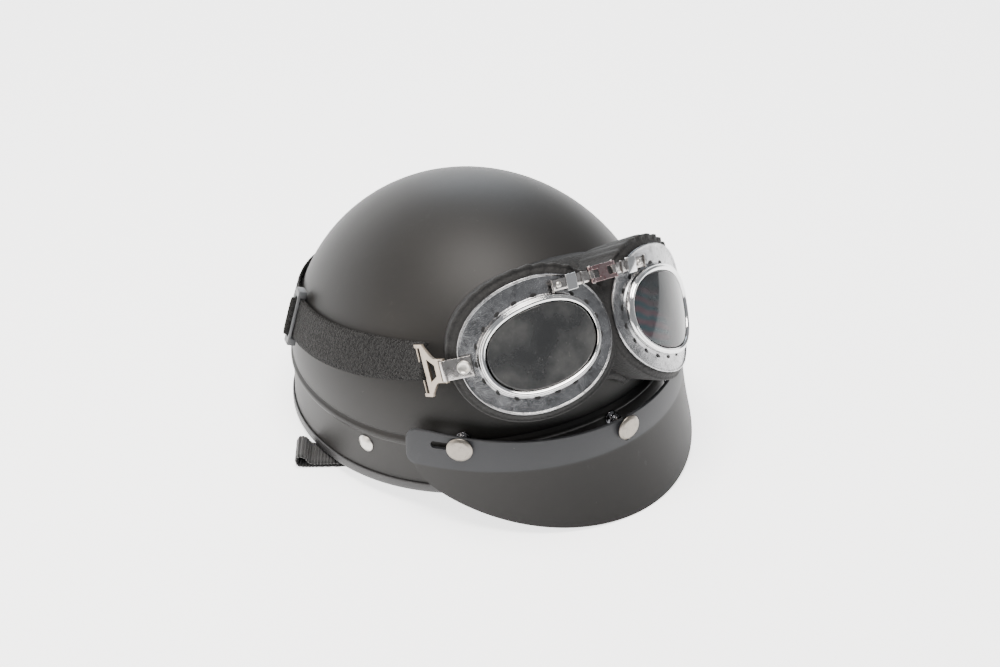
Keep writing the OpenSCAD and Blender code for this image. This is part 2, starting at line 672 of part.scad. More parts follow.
// Angle round the shell of the point p, and how far p stands off the shell.
function wall_angle(p) = atan2(p.x / half_w, -p.y / half_l);
function wall_gap(p) =
    let (q = [p.x / half_w, p.y / half_l, (p.z - widest_z) / (crown_h - widest_z)])
    (q * q - 1) / (2 * norm([q.x / half_w, q.y / half_l, q.z / (crown_h - widest_z)]));
function rod_at(side) = placed(mirrored(knuckle_point + rod_x * hook_x, side));
rods = [rod_at(-1), rod_at(1)];
rod_angles = [wall_angle(rods[0]), wall_angle(rods[1])];
function side_x(a) = 0.93 * half_w * sin(a);
function side_y(a) = -0.93 * half_l * cos(a);
// Height of the strap's centre line at angle a. It climbs to the right hook and sags to the left one.
strap_slope = 0.143;
strap_base = rods[0].z + strap_slope * side_y(rod_angles[0]);
strap_sag = strap_base - strap_slope * side_y(rod_angles[1]) - rods[1].z;
strap_span = side_x(rod_angles[1]) - side_x(rod_angles[0]);
function strap_z(a) =
    strap_base - strap_slope * side_y(a) - strap_sag * pow((side_x(a) - side_x(rod_angles[0])) / strap_span, 2);
function strap_up(a) = unit(wall(a, strap_z(a) + 1, 0) - wall(a, strap_z(a) - 1, 0));
function strap_section(a, low, high, w) =
    let (p = wall(a, strap_z(a), 0), u = strap_up(a) * w / 2, n = outward(p))
    [p - u + n * high, p + u + n * high, p + u + n * low, p - u + n * low];
slider_angle = 119;
strap_low = 1.5;
strap_end = 1.0;
rod_hole_d = rod_d + 0.4;
// Near its hook the strap leaves the shell, towards the rod, and swells into the loop that holds it.
function strap_near(a, i, reach) = max(0, 1 - (abs(a) - abs(rod_angles[i])) / reach);
function strap_thick(a, i) = 2 * elastic_t + rod_hole_d * min(1, pow(strap_near(a, i, 8), 3));
function strap_rise(a, i) =
    (wall_gap(rods[i]) - strap_low - elastic_t - rod_hole_d / 2) * pow(min(1, strap_near(a, i, 20)), 2);
module side_strap(from, to, i) {
    steps = 20;
    loft([for (k = [0 : steps])
        let (a = from + (to - from) * k / steps, low = strap_low + strap_rise(a, i))
        strap_section(a, low, low + strap_thick(a, i), strap_w - 3.6 * min(1, strap_near(a, i, 20)))]);
}
module goggle_strap_right() {
    color([0.12, 0.12, 0.12]) difference() {
        stand() side_strap(1.5 - slider_angle, rod_angles[0] + strap_end, 0);
        on_goggles() hook_place() translate([rod_x, 0, 0]) rotate([90, 0, 0])
            cylinder(d = rod_hole_d, h = strap_w + 8, center = true);
    }
}
module goggle_strap_left() {
    color([0.12, 0.12, 0.12]) difference() {
        stand() side_strap(rod_angles[1] - strap_end, slider_angle, 1);
        on_goggles() for_side(1) hook_place() translate([rod_x, 0, 0]) rotate([90, 0, 0])
            cylinder(d = rod_hole_d, h = strap_w + 8, center = true);
    }
}
module goggle_strap_rear() {
    steps = 26;
    from = slider_angle + 0.3;
    to = 361.2 - slider_angle;
    color([0.12, 0.12, 0.12]) stand() loft([for (k = [0 : steps])
        strap_section(from + (to - from) * k / steps, strap_low, strap_low + elastic_t, strap_w)]);
}

slider_w = 10;
slider_h = strap_w + 11;
function strap_mid(a) = wall(a, strap_z(a), 0);
slider_point = strap_mid(-slider_angle);
slider_run = unit(strap_mid(1 - slider_angle) - strap_mid(-1 - slider_angle));
slider_out = unit(outward(slider_point) - (outward(slider_point) * slider_run) * slider_run);
slider_up = cross(slider_out, slider_run);
// X along the strap towards the goggles, Y up its width and Z out of the shell.
module slider_place() {
    set_at(slider_point, slider_run, slider_up, slider_out) children();
}
bar_low = strap_low + 2 * elastic_t + 0.5;
module strap_slider() {
    rail = (slider_h - strap_w - 1) / 2;
    color([0.2, 0.2, 0.22]) stand() slider_place() {
        for (y = [-slider_h / 2, slider_h / 2 - rail])
            translate([-slider_w / 2, y, clear + 0.6]) cube([slider_w, rail, bar_low + 1.4 - clear]);
        translate([-slider_w / 2, -slider_h / 2, bar_low]) cube([2.6, slider_h, 2]);
        translate([slider_w / 2 - 2.6, -slider_h / 2, bar_low]) cube([2.6, slider_h, 2]);
    }
}
// Sewn end of the elastic, folded back over the slider.
module strap_end_loop() {
    color([0.12, 0.12, 0.12]) stand() slider_place()
        translate([-slider_w / 2 + 3.1, -strap_w / 2 + 1, bar_low + 0.3]) difference() {
            cube([3.8, strap_w - 2, 5]);
            translate([1.2, -1, 1.2]) cube([1.4, strap_w, 2.6]);
        }
}

// ---- chin strap ----

// Webbing through points [x, y, height above the floor, direction of its width].
function webbing_centre(p) = [p.x, p.y, p.z + floor_z(p.y)];
function webbing_section(points, i) =
    let (
        n = len(points),
        p = webbing_centre(points[i]),
        run = unit(webbing_centre(points[min(n - 1, i + 1)]) - webbing_centre(points[max(0, i - 1)])),
        across = [cos(points[i][3]), sin(points[i][3]) * cos(rest_tilt), sin(points[i][3]) * sin(rest_tilt)],
        side = unit(across - (across * run) * run),
        up = cross(run, side),
        w = side * webbing_w / 2,
        t = up * webbing_t / 2
    )
    [p - w + t, p + w + t, p + w - t, p - w - t];
module webbing(points) {
    loft([for (i = [0 : len(points) - 1]) webbing_section(points, i)]);
}
function strap_start(side, h, off) =
    let (p = wall(side * rivet_angle, h, -shell_t - webbing_in - off))
    [p.x, p.y, p.z - floor_z(p.y), side < 0 ? 281 : 259];
function hang(side) =
    [strap_start(side, 33, 0), strap_start(side, 25, 0), strap_start(side, 14, 0.6), strap_start(side, 7, 2)];
chin_right = concat(hang(-1), [[-107 * half_w / 120, -26, 6, 276], [-100, -27.5, 3.6, 265], [-90, -30, 3.5, 258],
    [-75, -33.5, 3.6, 257], [-62, -37, 4.8, 260], [-53, -40, 6.6, 270], [-43, -40, 6.6, 270]]);
chin_left = concat(hang(1), [[106 * half_w / 120, -26, 4.4, 262], [98, -28, 1.7, 264], [84, -32, 1.2, 266],
    [62, -37, 1.1, 268], [50, -39, 2.6, 270], [40, -40, 5.2, 270], [32, -40, 7.2, 270], [4, -40, 7.6, 270]]);
// Point of the spare end, so many millimetres out from beside the rim.
function tail_at(out, height) = [-107 * half_w / 120 - out * 0.766, 4 + out * 0.643, height, 230];
fold_r = 4.2;
tail = concat([[-43, -40, 2.6, 270], [-53, -40, 2.5, 268], [-62, -36, 1.4, 248]],
    [tail_at(-46, 0.9), tail_at(-30, 0.9), tail_at(-10, 0.9), tail_at(12, 0.9), tail_at(28, 0.9)],
    [for (turn = [-60, -20, 20, 60]) tail_at(32.8 + fold_r * cos(turn), 5.1 + fold_r * sin(turn))],
    [tail_at(31, 7.8), tail_at(27.4, 3.5), tail_at(20, 3.2), tail_at(8, 3.2)]);
module chin_strap(side, points) {
    color([0.1, 0.1, 0.1]) stand() difference() {
        webbing(points);
        rivet_place(side) cylinder(d = rivet_shank_d, h = 24, center = true);
    }
}
module chin_strap_right() { chin_strap(-1, chin_right); }
module chin_strap_left() { chin_strap(1, chin_left); }
module chin_strap_tail() {
    color([0.1, 0.1, 0.1]) stand() webbing(tail);
}

buckle_z = floor_z(-40);
module buckle_place() {
    translate([-48, -40, buckle_z]) rotate([rest_tilt, 0, 0]) children();
}
buckle_l = 42;
buckle_w = 28;
buckle_h = 10;
lever_pin_d = 2.5;
module buckle_housing() {
    color([0.12, 0.12, 0.13]) stand() buckle_place() difference() {
        translate([0.2, -buckle_w / 2, 0.2]) cube([buckle_l, buckle_w, buckle_h]);
        translate([12, -9.6, 3.2]) cube([buckle_l, 19.2, 3.2]);
        for (z = [2.5, 6.6])
            translate([-1, -webbing_w / 2 - 0.5, z - webbing_t / 2 - 0.5]) cube([6.8, webbing_w + 1, webbing_t + 1]);
        translate([6, -7, 6.3]) cube([26, 14, 8]);
        translate([6, -7, 4.8]) cube([6, 14, 4]);
        translate([9, -buckle_w / 2 - 1, 7.6]) rotate([-90, 0, 0]) cylinder(d = lever_pin_d, h = buckle_w + 2);
    }
}
module buckle_lever() {
    color([0.6, 0.08, 0.06]) stand() buckle_place() difference() {
        union() {
            translate([9, -6.6, 7.6]) rotate([-90, 0, 0]) cylinder(d = 5, h = 13.2);
            translate([9, -6.6, 8]) cube([21, 13.2, 2.1]);
        }
        translate([9, -8, 7.6]) rotate([-90, 0, 0]) cylinder(d = lever_pin_d + 0.1, h = 16);
    }
}
module lever_pin() {
    color([0.7, 0.7, 0.7]) stand() buckle_place()
        translate([9, -buckle_w / 2 + 1, 7.6]) rotate([-90, 0, 0]) cylinder(d = lever_pin_d, h = buckle_w - 2);
}
module buckle_tongue() {
    color([0.65, 0.65, 0.66]) stand() buckle_place() difference() {
        union() {
            translate([16, -9, 3.7]) cube([30, 18, 2.2]);
            translate([46, -14, 3.7]) cube([13, 28, 2.2]);
        }
        translate([51, -12.5, 2]) cube([4, 25, 6]);
        translate([20, -4, 2]) cube([5, 8, 6]);
    }
}

outer_shell();
edge_trim();
foam_liner();
crown_pad();
headband_pad();
nape_pad();
strap_rivets();
rivet_washers();
side_snap_studs();
front_snap_stud();
peak();
snap_cap_right();
snap_cap_front();
snap_cap_left();
face_pad();
frame_right();
frame_left();
lens_ring_right();
lens_ring_left();
lens_right();
lens_left();
bridge_clamps();
bridge_link();
bridge_pins();
bridge_rivets();
bracket_right();
bracket_left();
bracket_rivets();
strap_hook_right();
strap_hook_left();
goggle_strap_right();
goggle_strap_left();
goggle_strap_rear();
strap_slider();
strap_end_loop();
chin_strap_right();
chin_strap_left();
chin_strap_tail();
buckle_housing();
buckle_lever();
lever_pin();
buckle_tongue();
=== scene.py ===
# Open-face motorcycle helmet with a tilting peak held by snap caps and aviator goggles, in metres.
import bpy, bmesh, math
from mathutils import Matrix, Vector, noise


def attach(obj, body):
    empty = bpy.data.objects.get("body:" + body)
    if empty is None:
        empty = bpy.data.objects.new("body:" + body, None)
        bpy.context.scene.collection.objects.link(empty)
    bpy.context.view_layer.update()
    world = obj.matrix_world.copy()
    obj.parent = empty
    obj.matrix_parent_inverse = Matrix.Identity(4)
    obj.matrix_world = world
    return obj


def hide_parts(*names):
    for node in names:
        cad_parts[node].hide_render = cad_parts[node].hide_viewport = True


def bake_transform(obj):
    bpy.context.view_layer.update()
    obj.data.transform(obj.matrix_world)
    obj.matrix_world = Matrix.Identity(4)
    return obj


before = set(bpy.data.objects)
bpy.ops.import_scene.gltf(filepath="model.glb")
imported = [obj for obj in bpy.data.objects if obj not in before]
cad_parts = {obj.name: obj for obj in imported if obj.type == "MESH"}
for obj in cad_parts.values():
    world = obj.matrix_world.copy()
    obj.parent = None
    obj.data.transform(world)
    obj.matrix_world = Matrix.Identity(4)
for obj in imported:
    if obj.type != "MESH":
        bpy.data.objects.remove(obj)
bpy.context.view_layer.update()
print("frame loaded")
sin, cos, pi = math.sin, math.cos, math.pi


def clamp(x, low=0.0, high=1.0):
    return max(low, min(high, x))


# the shell's surface, in millimetres in the upright helmet's own frame

shellSize = {"halfWidth": 120.0, "halfLength": 135.0, "crown": 157.0, "wall": 3.0, "widest": 30.5,
             "rimRise": 12.0, "flare": 0.012, "beadHeight": 34.6, "bead": 1.3, "riseFade": 60, "columns": 240}
rimSize = {"thick": 1.4, "low": 1.4, "high": 5.0}
peakSize = {"thick": 2.2, "bandGap": 14.0, "tabGap": 9.0, "crease": 30.5, "band": 19.0, "bandRise": 5.6,
            "riseBy": 55, "drop": 14.3, "reach": 25.5, "tabAngle": 62.0, "billAngle": 59.5, "tabRound": 8.0,
            "tabSpread": 2.15, "columns": 150}

shell = shellSize
rearY = (shell["halfLength"] + rimSize["thick"]) * (1 + shell["flare"] * (1 + rimSize["low"] / shell["widest"]) ** 2)
tipFlare = 1 + shell["flare"] * (1 + peakSize["drop"] / shell["widest"]) ** 2
tipY = -(shell["halfLength"] + peakSize["reach"]) * tipFlare
restTilt = math.atan2(peakSize["drop"] - rimSize["low"], rearY - tipY)
liftZ = rearY * sin(restTilt) + rimSize["low"] * cos(restTilt)


def outlineShare(z, off):
    if z >= shell["widest"]:
        return math.sqrt(max(0.0, 1 - ((z - shell["widest"]) / (shell["crown"] - shell["widest"] + off)) ** 2))
    return 1 + shell["flare"] * (1 - z / shell["widest"]) ** 2


def wall(angle, z, off):  # degrees from the forehead, positive to the wearer's left
    a, k = math.radians(angle), outlineShare(z, off)
    return Vector(((shell["halfWidth"] + off) * k * sin(a), -(shell["halfLength"] + off) * k * cos(a), z))


def rimZ(angle):
    c = cos(math.radians(angle))
    return shell["rimRise"] * c * c if c > 0 else 0.0


def riseShare(h):
    return clamp(1 - (h - shell["beadHeight"] - 4) / shell["riseFade"])


def domeZ(level, off=0.0):
    return shell["widest"] + (shell["crown"] - shell["widest"] + off) * sin(math.radians(level))


def outward(p):
    return Vector((p.x / shell["halfWidth"] ** 2, p.y / shell["halfLength"] ** 2,
                   max(0.0, p.z - shell["widest"]) / (shell["crown"] - shell["widest"]) ** 2)).normalized()


def meet(p, d, off):  # where a ray first meets the surface that stands off the shell
    s = (shell["halfWidth"] + off, shell["halfLength"] + off, shell["crown"] - shell["widest"] + off)
    q = Vector((p.x / s[0], p.y / s[1], (p.z - shell["widest"]) / s[2]))
    e = Vector((d.x / s[0], d.y / s[1], d.z / s[2]))
    b = q.dot(e)
    root = math.sqrt(max(0.0, b * b - e.dot(e) * (q.dot(q) - 1)))
    return p + d * ((-b - root) / e.dot(e))


def stand(p):  # upright frame in millimetres to the row frame in metres
    return Vector((p.x, p.y * cos(restTilt) + p.z * sin(restTilt),
                   p.z * cos(restTilt) - p.y * sin(restTilt) + liftZ)) / 1000


def lean(d):
    return Vector((d.x, d.y * cos(restTilt) + d.z * sin(restTilt), d.z * cos(restTilt) - d.y * sin(restTilt)))


# shader building

class Wire:
    def __init__(self, bench, socket):
        self.bench, self.socket = bench, socket

    def sum(self, op, other, swap=False):
        pair = [other, self] if swap else [self, other]
        return self.bench.node("ShaderNodeMath", {"operation": op}, {0: pair[0], 1: pair[1]})

    def __add__(self, o): return self.sum("ADD", o)
    def __radd__(self, o): return self.sum("ADD", o, True)
    def __sub__(self, o): return self.sum("SUBTRACT", o)
    def __rsub__(self, o): return self.sum("SUBTRACT", o, True)
    def __mul__(self, o): return self.sum("MULTIPLY", o)
    def __rmul__(self, o): return self.sum("MULTIPLY", o, True)
    def __truediv__(self, o): return self.sum("DIVIDE", o)
    def __pow__(self, o): return self.sum("POWER", o)


class Bench:
    def __init__(self, name):
        self.material = bpy.data.materials.new(name)
        self.material.use_nodes = True
        self.tree = self.material.node_tree
        self.shader = self.tree.nodes["Principled BSDF"]

    def node(self, kind, settings=None, inputs=None, out=0):
        n = self.tree.nodes.new(kind)
        for key, value in (settings or {}).items():
            if key == "stops":
                while len(n.color_ramp.elements) > 1:
                    n.color_ramp.elements.remove(n.color_ramp.elements[0])
                n.color_ramp.elements[0].position = value[0][0]
                n.color_ramp.elements[0].color = (*[value[0][1]] * 3, 1)
                for at, grey in value[1:]:
                    n.color_ramp.elements.new(at).color = (grey, grey, grey, 1)
            else:
                setattr(n, key, value)
        for key, value in (inputs or {}).items():
            if isinstance(value, Wire):
                self.tree.links.new(value.socket, n.inputs[key])
            else:
                n.inputs[key].default_value = value
        return Wire(self, n.outputs[out])

    def place(self, kind="Object"):
        return self.node("ShaderNodeTexCoord", out=["Generated", "Normal", "UV", "Object"].index(kind))

    def parts(self, vector):
        n = self.node("ShaderNodeSeparateXYZ", inputs={0: vector})
        return [Wire(self, n.socket.node.outputs[i]) for i in range(3)]

    def grain(self, vector, scale, detail=4.0, rough=0.55):
        return self.node("ShaderNodeTexNoise", {"noise_dimensions": "3D"},
                         {"Vector": vector, "Scale": scale, "Detail": detail, "Roughness": rough})

    def cells(self, vector, scale, feature="F1"):
        return self.node("ShaderNodeTexVoronoi", {"feature": feature}, {"Vector": vector, "Scale": scale})

    def band(self, value, low, high, toLow=0.0, toHigh=1.0):
        return self.node("ShaderNodeMapRange", {"interpolation_type": "SMOOTHSTEP"},
                         {0: value, 1: low, 2: high, 3: toLow, 4: toHigh})

    def blend(self, share, a, b):
        n = self.tree.nodes.new("ShaderNodeMix")
        n.data_type = "RGBA"
        for at, value in ((0, share), (6, a), (7, b)):
            if isinstance(value, Wire):
                self.tree.links.new(value.socket, n.inputs[at])
            else:
                n.inputs[at].default_value = value if at == 0 else (*value, 1)
        return Wire(self, n.outputs[2])

    def bump(self, height, strength, distance=0.001):
        return self.node("ShaderNodeBump", inputs={"Height": height, "Strength": strength, "Distance": distance})

    def finish(self, **sockets):
        for name, value in sockets.items():
            at = {"colour": "Base Color", "rough": "Roughness", "metal": "Metallic", "normal": "Normal",
                  "coat": "Coat Weight", "coatRough": "Coat Roughness", "alpha": "Alpha", "sheen": "Sheen Weight",
                  "specular": "Specular IOR Level", "sheenRough": "Sheen Roughness"}[name]
            if isinstance(value, Wire):
                self.tree.links.new(value.socket, self.shader.inputs[at])
            elif name == "colour":
                self.shader.inputs[at].default_value = (*value, 1)
            else:
                self.shader.inputs[at].default_value = value
        return self.material


def paintMaterial(name, dark, light, rough, specks, billPaintedShade=None):
    b = Bench(name)
    at = b.place()
    clouds = b.grain(at, 14, 3)
    peel = b.grain(at, 1400, 2)
    dust = b.band(b.grain(at, 420, 3, 0.7), 0.74, 0.80) * specks
    rubbed = b.band(b.grain(at, 60, 6, 0.7), 0.62, 0.78)
    colour = b.blend(clouds, dark, light)
    if billPaintedShade:  # painted shade: the bill, below the crease, is painted darker and warmer than the band, where it turns down away from the light
        x, y, z = b.parts(at)
        height = (z - liftZ / 1000) * cos(restTilt) + y * sin(restTilt)
        creaseLow, creaseHigh = 0.0292, 0.0312
        colour = b.blend(b.band(height, creaseLow, creaseHigh, 0.85, 0.0), colour, billPaintedShade)
    colour = b.blend(rubbed * 0.25, colour, tuple(c * 1.8 for c in light))
    colour = b.blend(dust, colour, (0.30, 0.29, 0.27))
    bumps = b.bump(peel * 0.5 + b.grain(at, 90, 3) * 0.5, 0.10, 0.0004)
    return b.finish(colour=colour, rough=rough + clouds * 0.08 + dust * 0.2 - rubbed * 0.05,
                    normal=bumps, specular=0.27)


def metalMaterial(name, colour, rough, mottle, dirt, bumpy=0.15, scale=70, tarnish=(0.10, 0.085, 0.07)):
    b = Bench(name)
    at = b.place()
    clouds = b.grain(at, scale, 5, 0.6)
    specks = b.band(b.grain(at, 620, 4, 0.7), 0.60, 0.72)
    fine = b.grain(at, 1800, 2)
    stain = b.band(b.grain(at, scale * 2.4, 6, 0.7), 0.48, 0.72)
    base = b.blend(clouds, tuple(c * (1 - mottle) for c in colour), colour)
    base = b.blend(stain * dirt + specks * dirt, base, tarnish)
    bumps = b.bump(clouds * 0.7 + fine * 0.3, bumpy, 0.0006)
    return b.finish(colour=base, rough=rough + clouds * mottle * 0.25 + specks * 0.2, metal=1.0, normal=bumps)


def leatherMaterial(name):
    b = Bench(name)
    at = b.place()
    pebbles = b.cells(at, 620)
    creases = b.grain(at, 95, 6, 0.65)
    worn = b.band(b.grain(at, 40, 5), 0.55, 0.75)
    colour = b.blend(worn * 0.5 + pebbles * 0.3, (0.012, 0.012, 0.012), (0.032, 0.031, 0.030))
    bumps = b.bump(pebbles * 0.5 + creases, 0.55, 0.0012)
    return b.finish(colour=colour, rough=0.60 + creases * 0.20, normal=bumps, specular=0.25)


def elasticMaterial(name):
    b = Bench(name)
    u, v, _ = b.parts(b.place("UV"))
    zig = b.node("ShaderNodeMath", {"operation": "PINGPONG"}, {0: u, 1: 1.1})
    ribs = b.node("ShaderNodeMath", {"operation": "SINE"}, {0: (v + zig * 0.8) * (2 * pi / 1.3)})
    wefts = b.node("ShaderNodeMath", {"operation": "SINE"}, {0: (u + v * 0.25) * (2 * pi / 0.9)})
    fuzz = b.grain(b.place(), 1500, 3, 0.7)
    loops = b.band(b.grain(b.place(), 760, 2, 0.5), 0.38, 0.62)
    weave = ribs * 0.3 + wefts * 0.2 + 0.5
    colour = b.blend(weave * 0.4 + fuzz * 0.2 + loops * 0.6 - 0.1, (0.003, 0.003, 0.003), (0.026, 0.0255, 0.025))
    bumps = b.bump(weave * 0.5 + fuzz * 0.4 + loops, 0.9, 0.001)
    return b.finish(colour=colour, rough=0.9, normal=bumps, sheen=0.06, sheenRough=0.5, specular=0.15)


def webbingMaterial(name):
    b = Bench(name)
    u, v, _ = b.parts(b.place("UV"))
    ribs = b.node("ShaderNodeMath", {"operation": "SINE"}, {0: u * (2 * pi / 2.2)})
    yarns = b.node("ShaderNodeMath", {"operation": "SINE"}, {0: (v + u * 0.2) * (2 * pi / 0.8)})
    fuzz = b.grain(b.place(), 1300, 3, 0.7)
    colour = b.blend(ribs * 0.35 + yarns * 0.12 + fuzz * 0.5 + 0.1, (0.007, 0.007, 0.007), (0.05, 0.05, 0.05))
    bumps = b.bump(ribs * 0.8 + yarns * 0.25 + fuzz * 0.3, 0.9, 0.0009)
    return b.finish(colour=colour, rough=0.62, normal=bumps, sheen=0.15)


def plasticMaterial(name, dark, light, rough, grainScale=900, bumpy=0.12):
    b = Bench(name)
    at = b.place()
    clouds = b.grain(at, 30, 4)
    texture = b.grain(at, grainScale, 3)
    scuffs = b.band(b.grain(at, 190, 5, 0.7), 0.60, 0.72)
    colour = b.blend(scuffs * 0.4, b.blend(clouds, dark, light), tuple(c * 1.9 for c in light))
    return b.finish(colour=colour, rough=rough + texture * 0.12, normal=b.bump(texture + scuffs * 0.4, bumpy, 0.0005))


def lensMaterial(name, tint, sheen):
    b = Bench(name)
    at = b.place()
    x, y, z = b.parts(at)
    smudge = b.band(b.grain(at, 30, 5, 0.6), 0.35, 0.85)
    lines = b.node("ShaderNodeTexNoise", {"noise_dimensions": "3D"}, {
        "Vector": b.node("ShaderNodeMapping", {"vector_type": "POINT"}, {"Vector": at, "Scale": (900, 900, 30)}),
        "Scale": 1.0, "Detail": 3.0})
    scratches = b.band(lines, 0.66, 0.74)
    colour = b.blend(smudge * 0.6 + scratches * 0.35, tint, (0.10, 0.10, 0.098))
    # painted reflection: a thin-film rainbow sheen painted into the base colour as diagonal bands over random patches
    if sheen > 0:
        bands = (z * 1.3 + x * 0.7 + b.grain(at, 30, 3) * 0.02) * 700
        hue = b.node("ShaderNodeMath", {"operation": "SINE"}, {0: bands})
        warm = b.blend(hue * 0.5 + 0.5, (0.04, 0.10, 0.12), (0.16, 0.08, 0.10))
        colour = b.blend(b.band(b.grain(at, 22, 3), 0.40, 0.62) * sheen, colour, warm)
    b.finish(colour=colour, rough=0.06 + smudge * 0.16 + scratches * 0.1, alpha=0.95, coat=0.08, specular=0.3,
             normal=b.bump(smudge, 0.03, 0.0005))
    b.shader.inputs["Coat Roughness"].default_value = 0.04
    return b.material


def foamMaterial(name):
    b = Bench(name)
    at = b.place()
    beads = b.cells(at, 330)
    colour = b.blend(beads, (0.02, 0.02, 0.022), (0.045, 0.045, 0.05))
    return b.finish(colour=colour, rough=0.8, normal=b.bump(beads, 0.4, 0.001))


def clothMaterial(name):
    b = Bench(name)
    x, y, z = b.parts(b.place())
    warp = b.node("ShaderNodeMath", {"operation": "SINE"}, {0: (x + y) * 4600})
    weft = b.node("ShaderNodeMath", {"operation": "SINE"}, {0: (z + y * 0.3) * 4600})
    fuzz = b.grain(b.place(), 900, 3)
    colour = b.blend(warp * weft * 0.4 + fuzz * 0.6, (0.015, 0.015, 0.017), (0.06, 0.06, 0.065))
    return b.finish(colour=colour, rough=0.85, normal=b.bump(warp * weft + fuzz, 0.4, 0.0006), sheen=0.3)


def floorMaterial():
    b = Bench("paleFloor")
    clouds = b.grain(b.place(), 3, 3)
    b.shader.inputs["Emission Color"].default_value = (1, 1, 1, 1)
    b.shader.inputs["Emission Strength"].default_value = 2.4
    return b.finish(colour=b.blend(clouds, (0.88, 0.88, 0.88), (0.92, 0.92, 0.92)), rough=0.7, specular=0.1)


mattBlack = paintMaterial("mattBlackPaint", (0.012, 0.0115, 0.011), (0.018, 0.017, 0.016), 0.47, 0.5)
# the peak's last colour is painted shade for the bill below the crease
mattPeak = paintMaterial("mattPeakPlastic", (0.019, 0.020, 0.022), (0.027, 0.028, 0.031), 0.48, 0.7,
                         (0.011, 0.010, 0.009))
rimRubber = plasticMaterial("rimRubber", (0.020, 0.020, 0.021), (0.034, 0.034, 0.035), 0.42)
chrome = metalMaterial("agedChrome", (0.52, 0.52, 0.53), 0.09, 0.80, 0.55, 0.7, 90, (0.035, 0.033, 0.032))
ringChrome = metalMaterial("brightRing", (0.80, 0.80, 0.80), 0.08, 0.15, 0.15, 0.08)
bridgeChrome = metalMaterial("fittingsChrome", (0.62, 0.59, 0.57), 0.12, 0.5, 0.5, 0.3, 140)
linkChrome = metalMaterial("linkChrome", (0.48, 0.36, 0.36), 0.12, 0.5, 0.7, 0.3, 120, (0.20, 0.02, 0.035))
pewter = metalMaterial("bevelledPewter", (0.27, 0.245, 0.215), 0.34, 0.25, 0.4, 0.2, 160)
warmPewter = metalMaterial("warmPewter", (0.37, 0.315, 0.26), 0.36, 0.2, 0.2, 0.2, 180)
rivetMetal = metalMaterial("brushedRivet", (0.62, 0.60, 0.56), 0.36, 0.15, 0.2, 0.1)
darkStud = metalMaterial("darkStud", (0.16, 0.16, 0.17), 0.16, 0.3, 0.3, 0.1)
leather = leatherMaterial("blackLeatherette")
elastic = elasticMaterial("knittedElastic")
webbing = webbingMaterial("ribbedWebbing")
sliderGrey = plasticMaterial("sliderPlastic", (0.045, 0.047, 0.050), (0.075, 0.078, 0.082), 0.38)
buckleBlack = plasticMaterial("bucklePlastic", (0.022, 0.022, 0.023), (0.035, 0.035, 0.036), 0.42)
leverRed = plasticMaterial("leverPlastic", (0.30, 0.025, 0.02), (0.42, 0.035, 0.03), 0.38)
# the far lens's copy adds the painted rainbow reflection
lensNear = lensMaterial("smokedLens", (0.020, 0.021, 0.022), 0.0)
lensFar = lensMaterial("smokedLensSheen", (0.016, 0.018, 0.020), 0.22)
foamBlack = foamMaterial("linerFoam")
liningCloth = clothMaterial("liningCloth")
# near-black colour for the pins that are painted shade in the frame's vent holes
holeShade = plasticMaterial("holeShade", (0.004, 0.004, 0.004), (0.010, 0.010, 0.010), 0.7)
print("materials made")


# mesh building

def meshPiece(name, points, faces, material, body, nodes=(), uv=None, smooth=True):
    mesh = bpy.data.meshes.new(name)
    mesh.from_pydata([tuple(p) for p in points], [], faces)
    mesh.validate()
    mesh.materials.append(material)
    if uv is not None:
        layer = mesh.uv_layers.new(name="UVMap")
        for loop in mesh.loops:
            layer.data[loop.index].uv = uv[loop.vertex_index]
    for poly in mesh.polygons:
        poly.use_smooth = smooth
    piece = bpy.data.objects.new(name, mesh)
    bpy.context.collection.objects.link(piece)
    outwardFaces(piece)
    return settle(piece, body, nodes)


def outwardFaces(piece):
    bm = bmesh.new()
    bm.from_mesh(piece.data)
    bmesh.ops.recalc_face_normals(bm, faces=bm.faces)
    bm.to_mesh(piece.data)
    bm.free()


def settle(piece, body, nodes=()):
    if nodes:
        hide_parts(*nodes)
    if body:
        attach(piece, body)
    return piece


def sweep(rows, ring=False, caps=True):
    n, m = len(rows), len(rows[0])
    faces = [(k * m + j, ((k + 1) % n) * m + j, ((k + 1) % n) * m + (j + 1) % m, k * m + (j + 1) % m)
             for k in range(n if ring else n - 1) for j in range(m)]
    if caps and not ring:
        faces += [tuple(range(m)), tuple((n - 1) * m + j for j in reversed(range(m)))]
    return [p for row in rows for p in row], faces


def bowlFaces(rows):  # rows of one width, with a single point at the first and last
    points, faces, n = [], [], len(rows[1])
    starts = []
    for row in rows:
        starts.append(len(points))
        points += row
    for k in range(len(rows) - 1):
        a, b = starts[k], starts[k + 1]
        for j in range(n):
            j2 = (j + 1) % n
            if len(rows[k]) == 1:
                faces.append((a, b + j, b + j2))
            elif len(rows[k + 1]) == 1:
                faces.append((a + j, b, a + j2))
            else:
                faces.append((a + j, b + j, b + j2, a + j2))
    return points, faces


def smoothRun(keys, steps):  # rounded curve through key points
    out = []
    for i in range(len(keys) - 1):
        p0, p1, p2, p3 = keys[max(0, i - 1)], keys[i], keys[i + 1], keys[min(len(keys) - 1, i + 2)]
        for s in range(steps):
            t = s / steps
            out.append([0.5 * (2 * b + (c - a) * t + (2 * a - 5 * b + 4 * c - d) * t * t
                               + (3 * b - a - 3 * c + d) * t ** 3) for a, b, c, d in zip(p0, p1, p2, p3)])
    return out + [list(keys[-1])]


def lathe(profile, centre, axis, steps=64):
    axis = axis.normalized()
    side = axis.orthogonal().normalized()
    other = axis.cross(side)
    rows = []
    for r, h in profile:
        if r < 1e-6:
            rows.append([centre + axis * h / 1000])
        else:
            turns = [2 * pi * i / steps for i in range(steps)]
            rows.append([centre + (axis * h + (side * cos(t) + other * sin(t)) * r) / 1000 for t in turns])
    return bowlFaces(rows)


def joined(parts):
    points, faces = [], []
    for p, f in parts:
        base = len(points)
        points += p
        faces += [tuple(base + i for i in face) for face in f]
    return points, faces


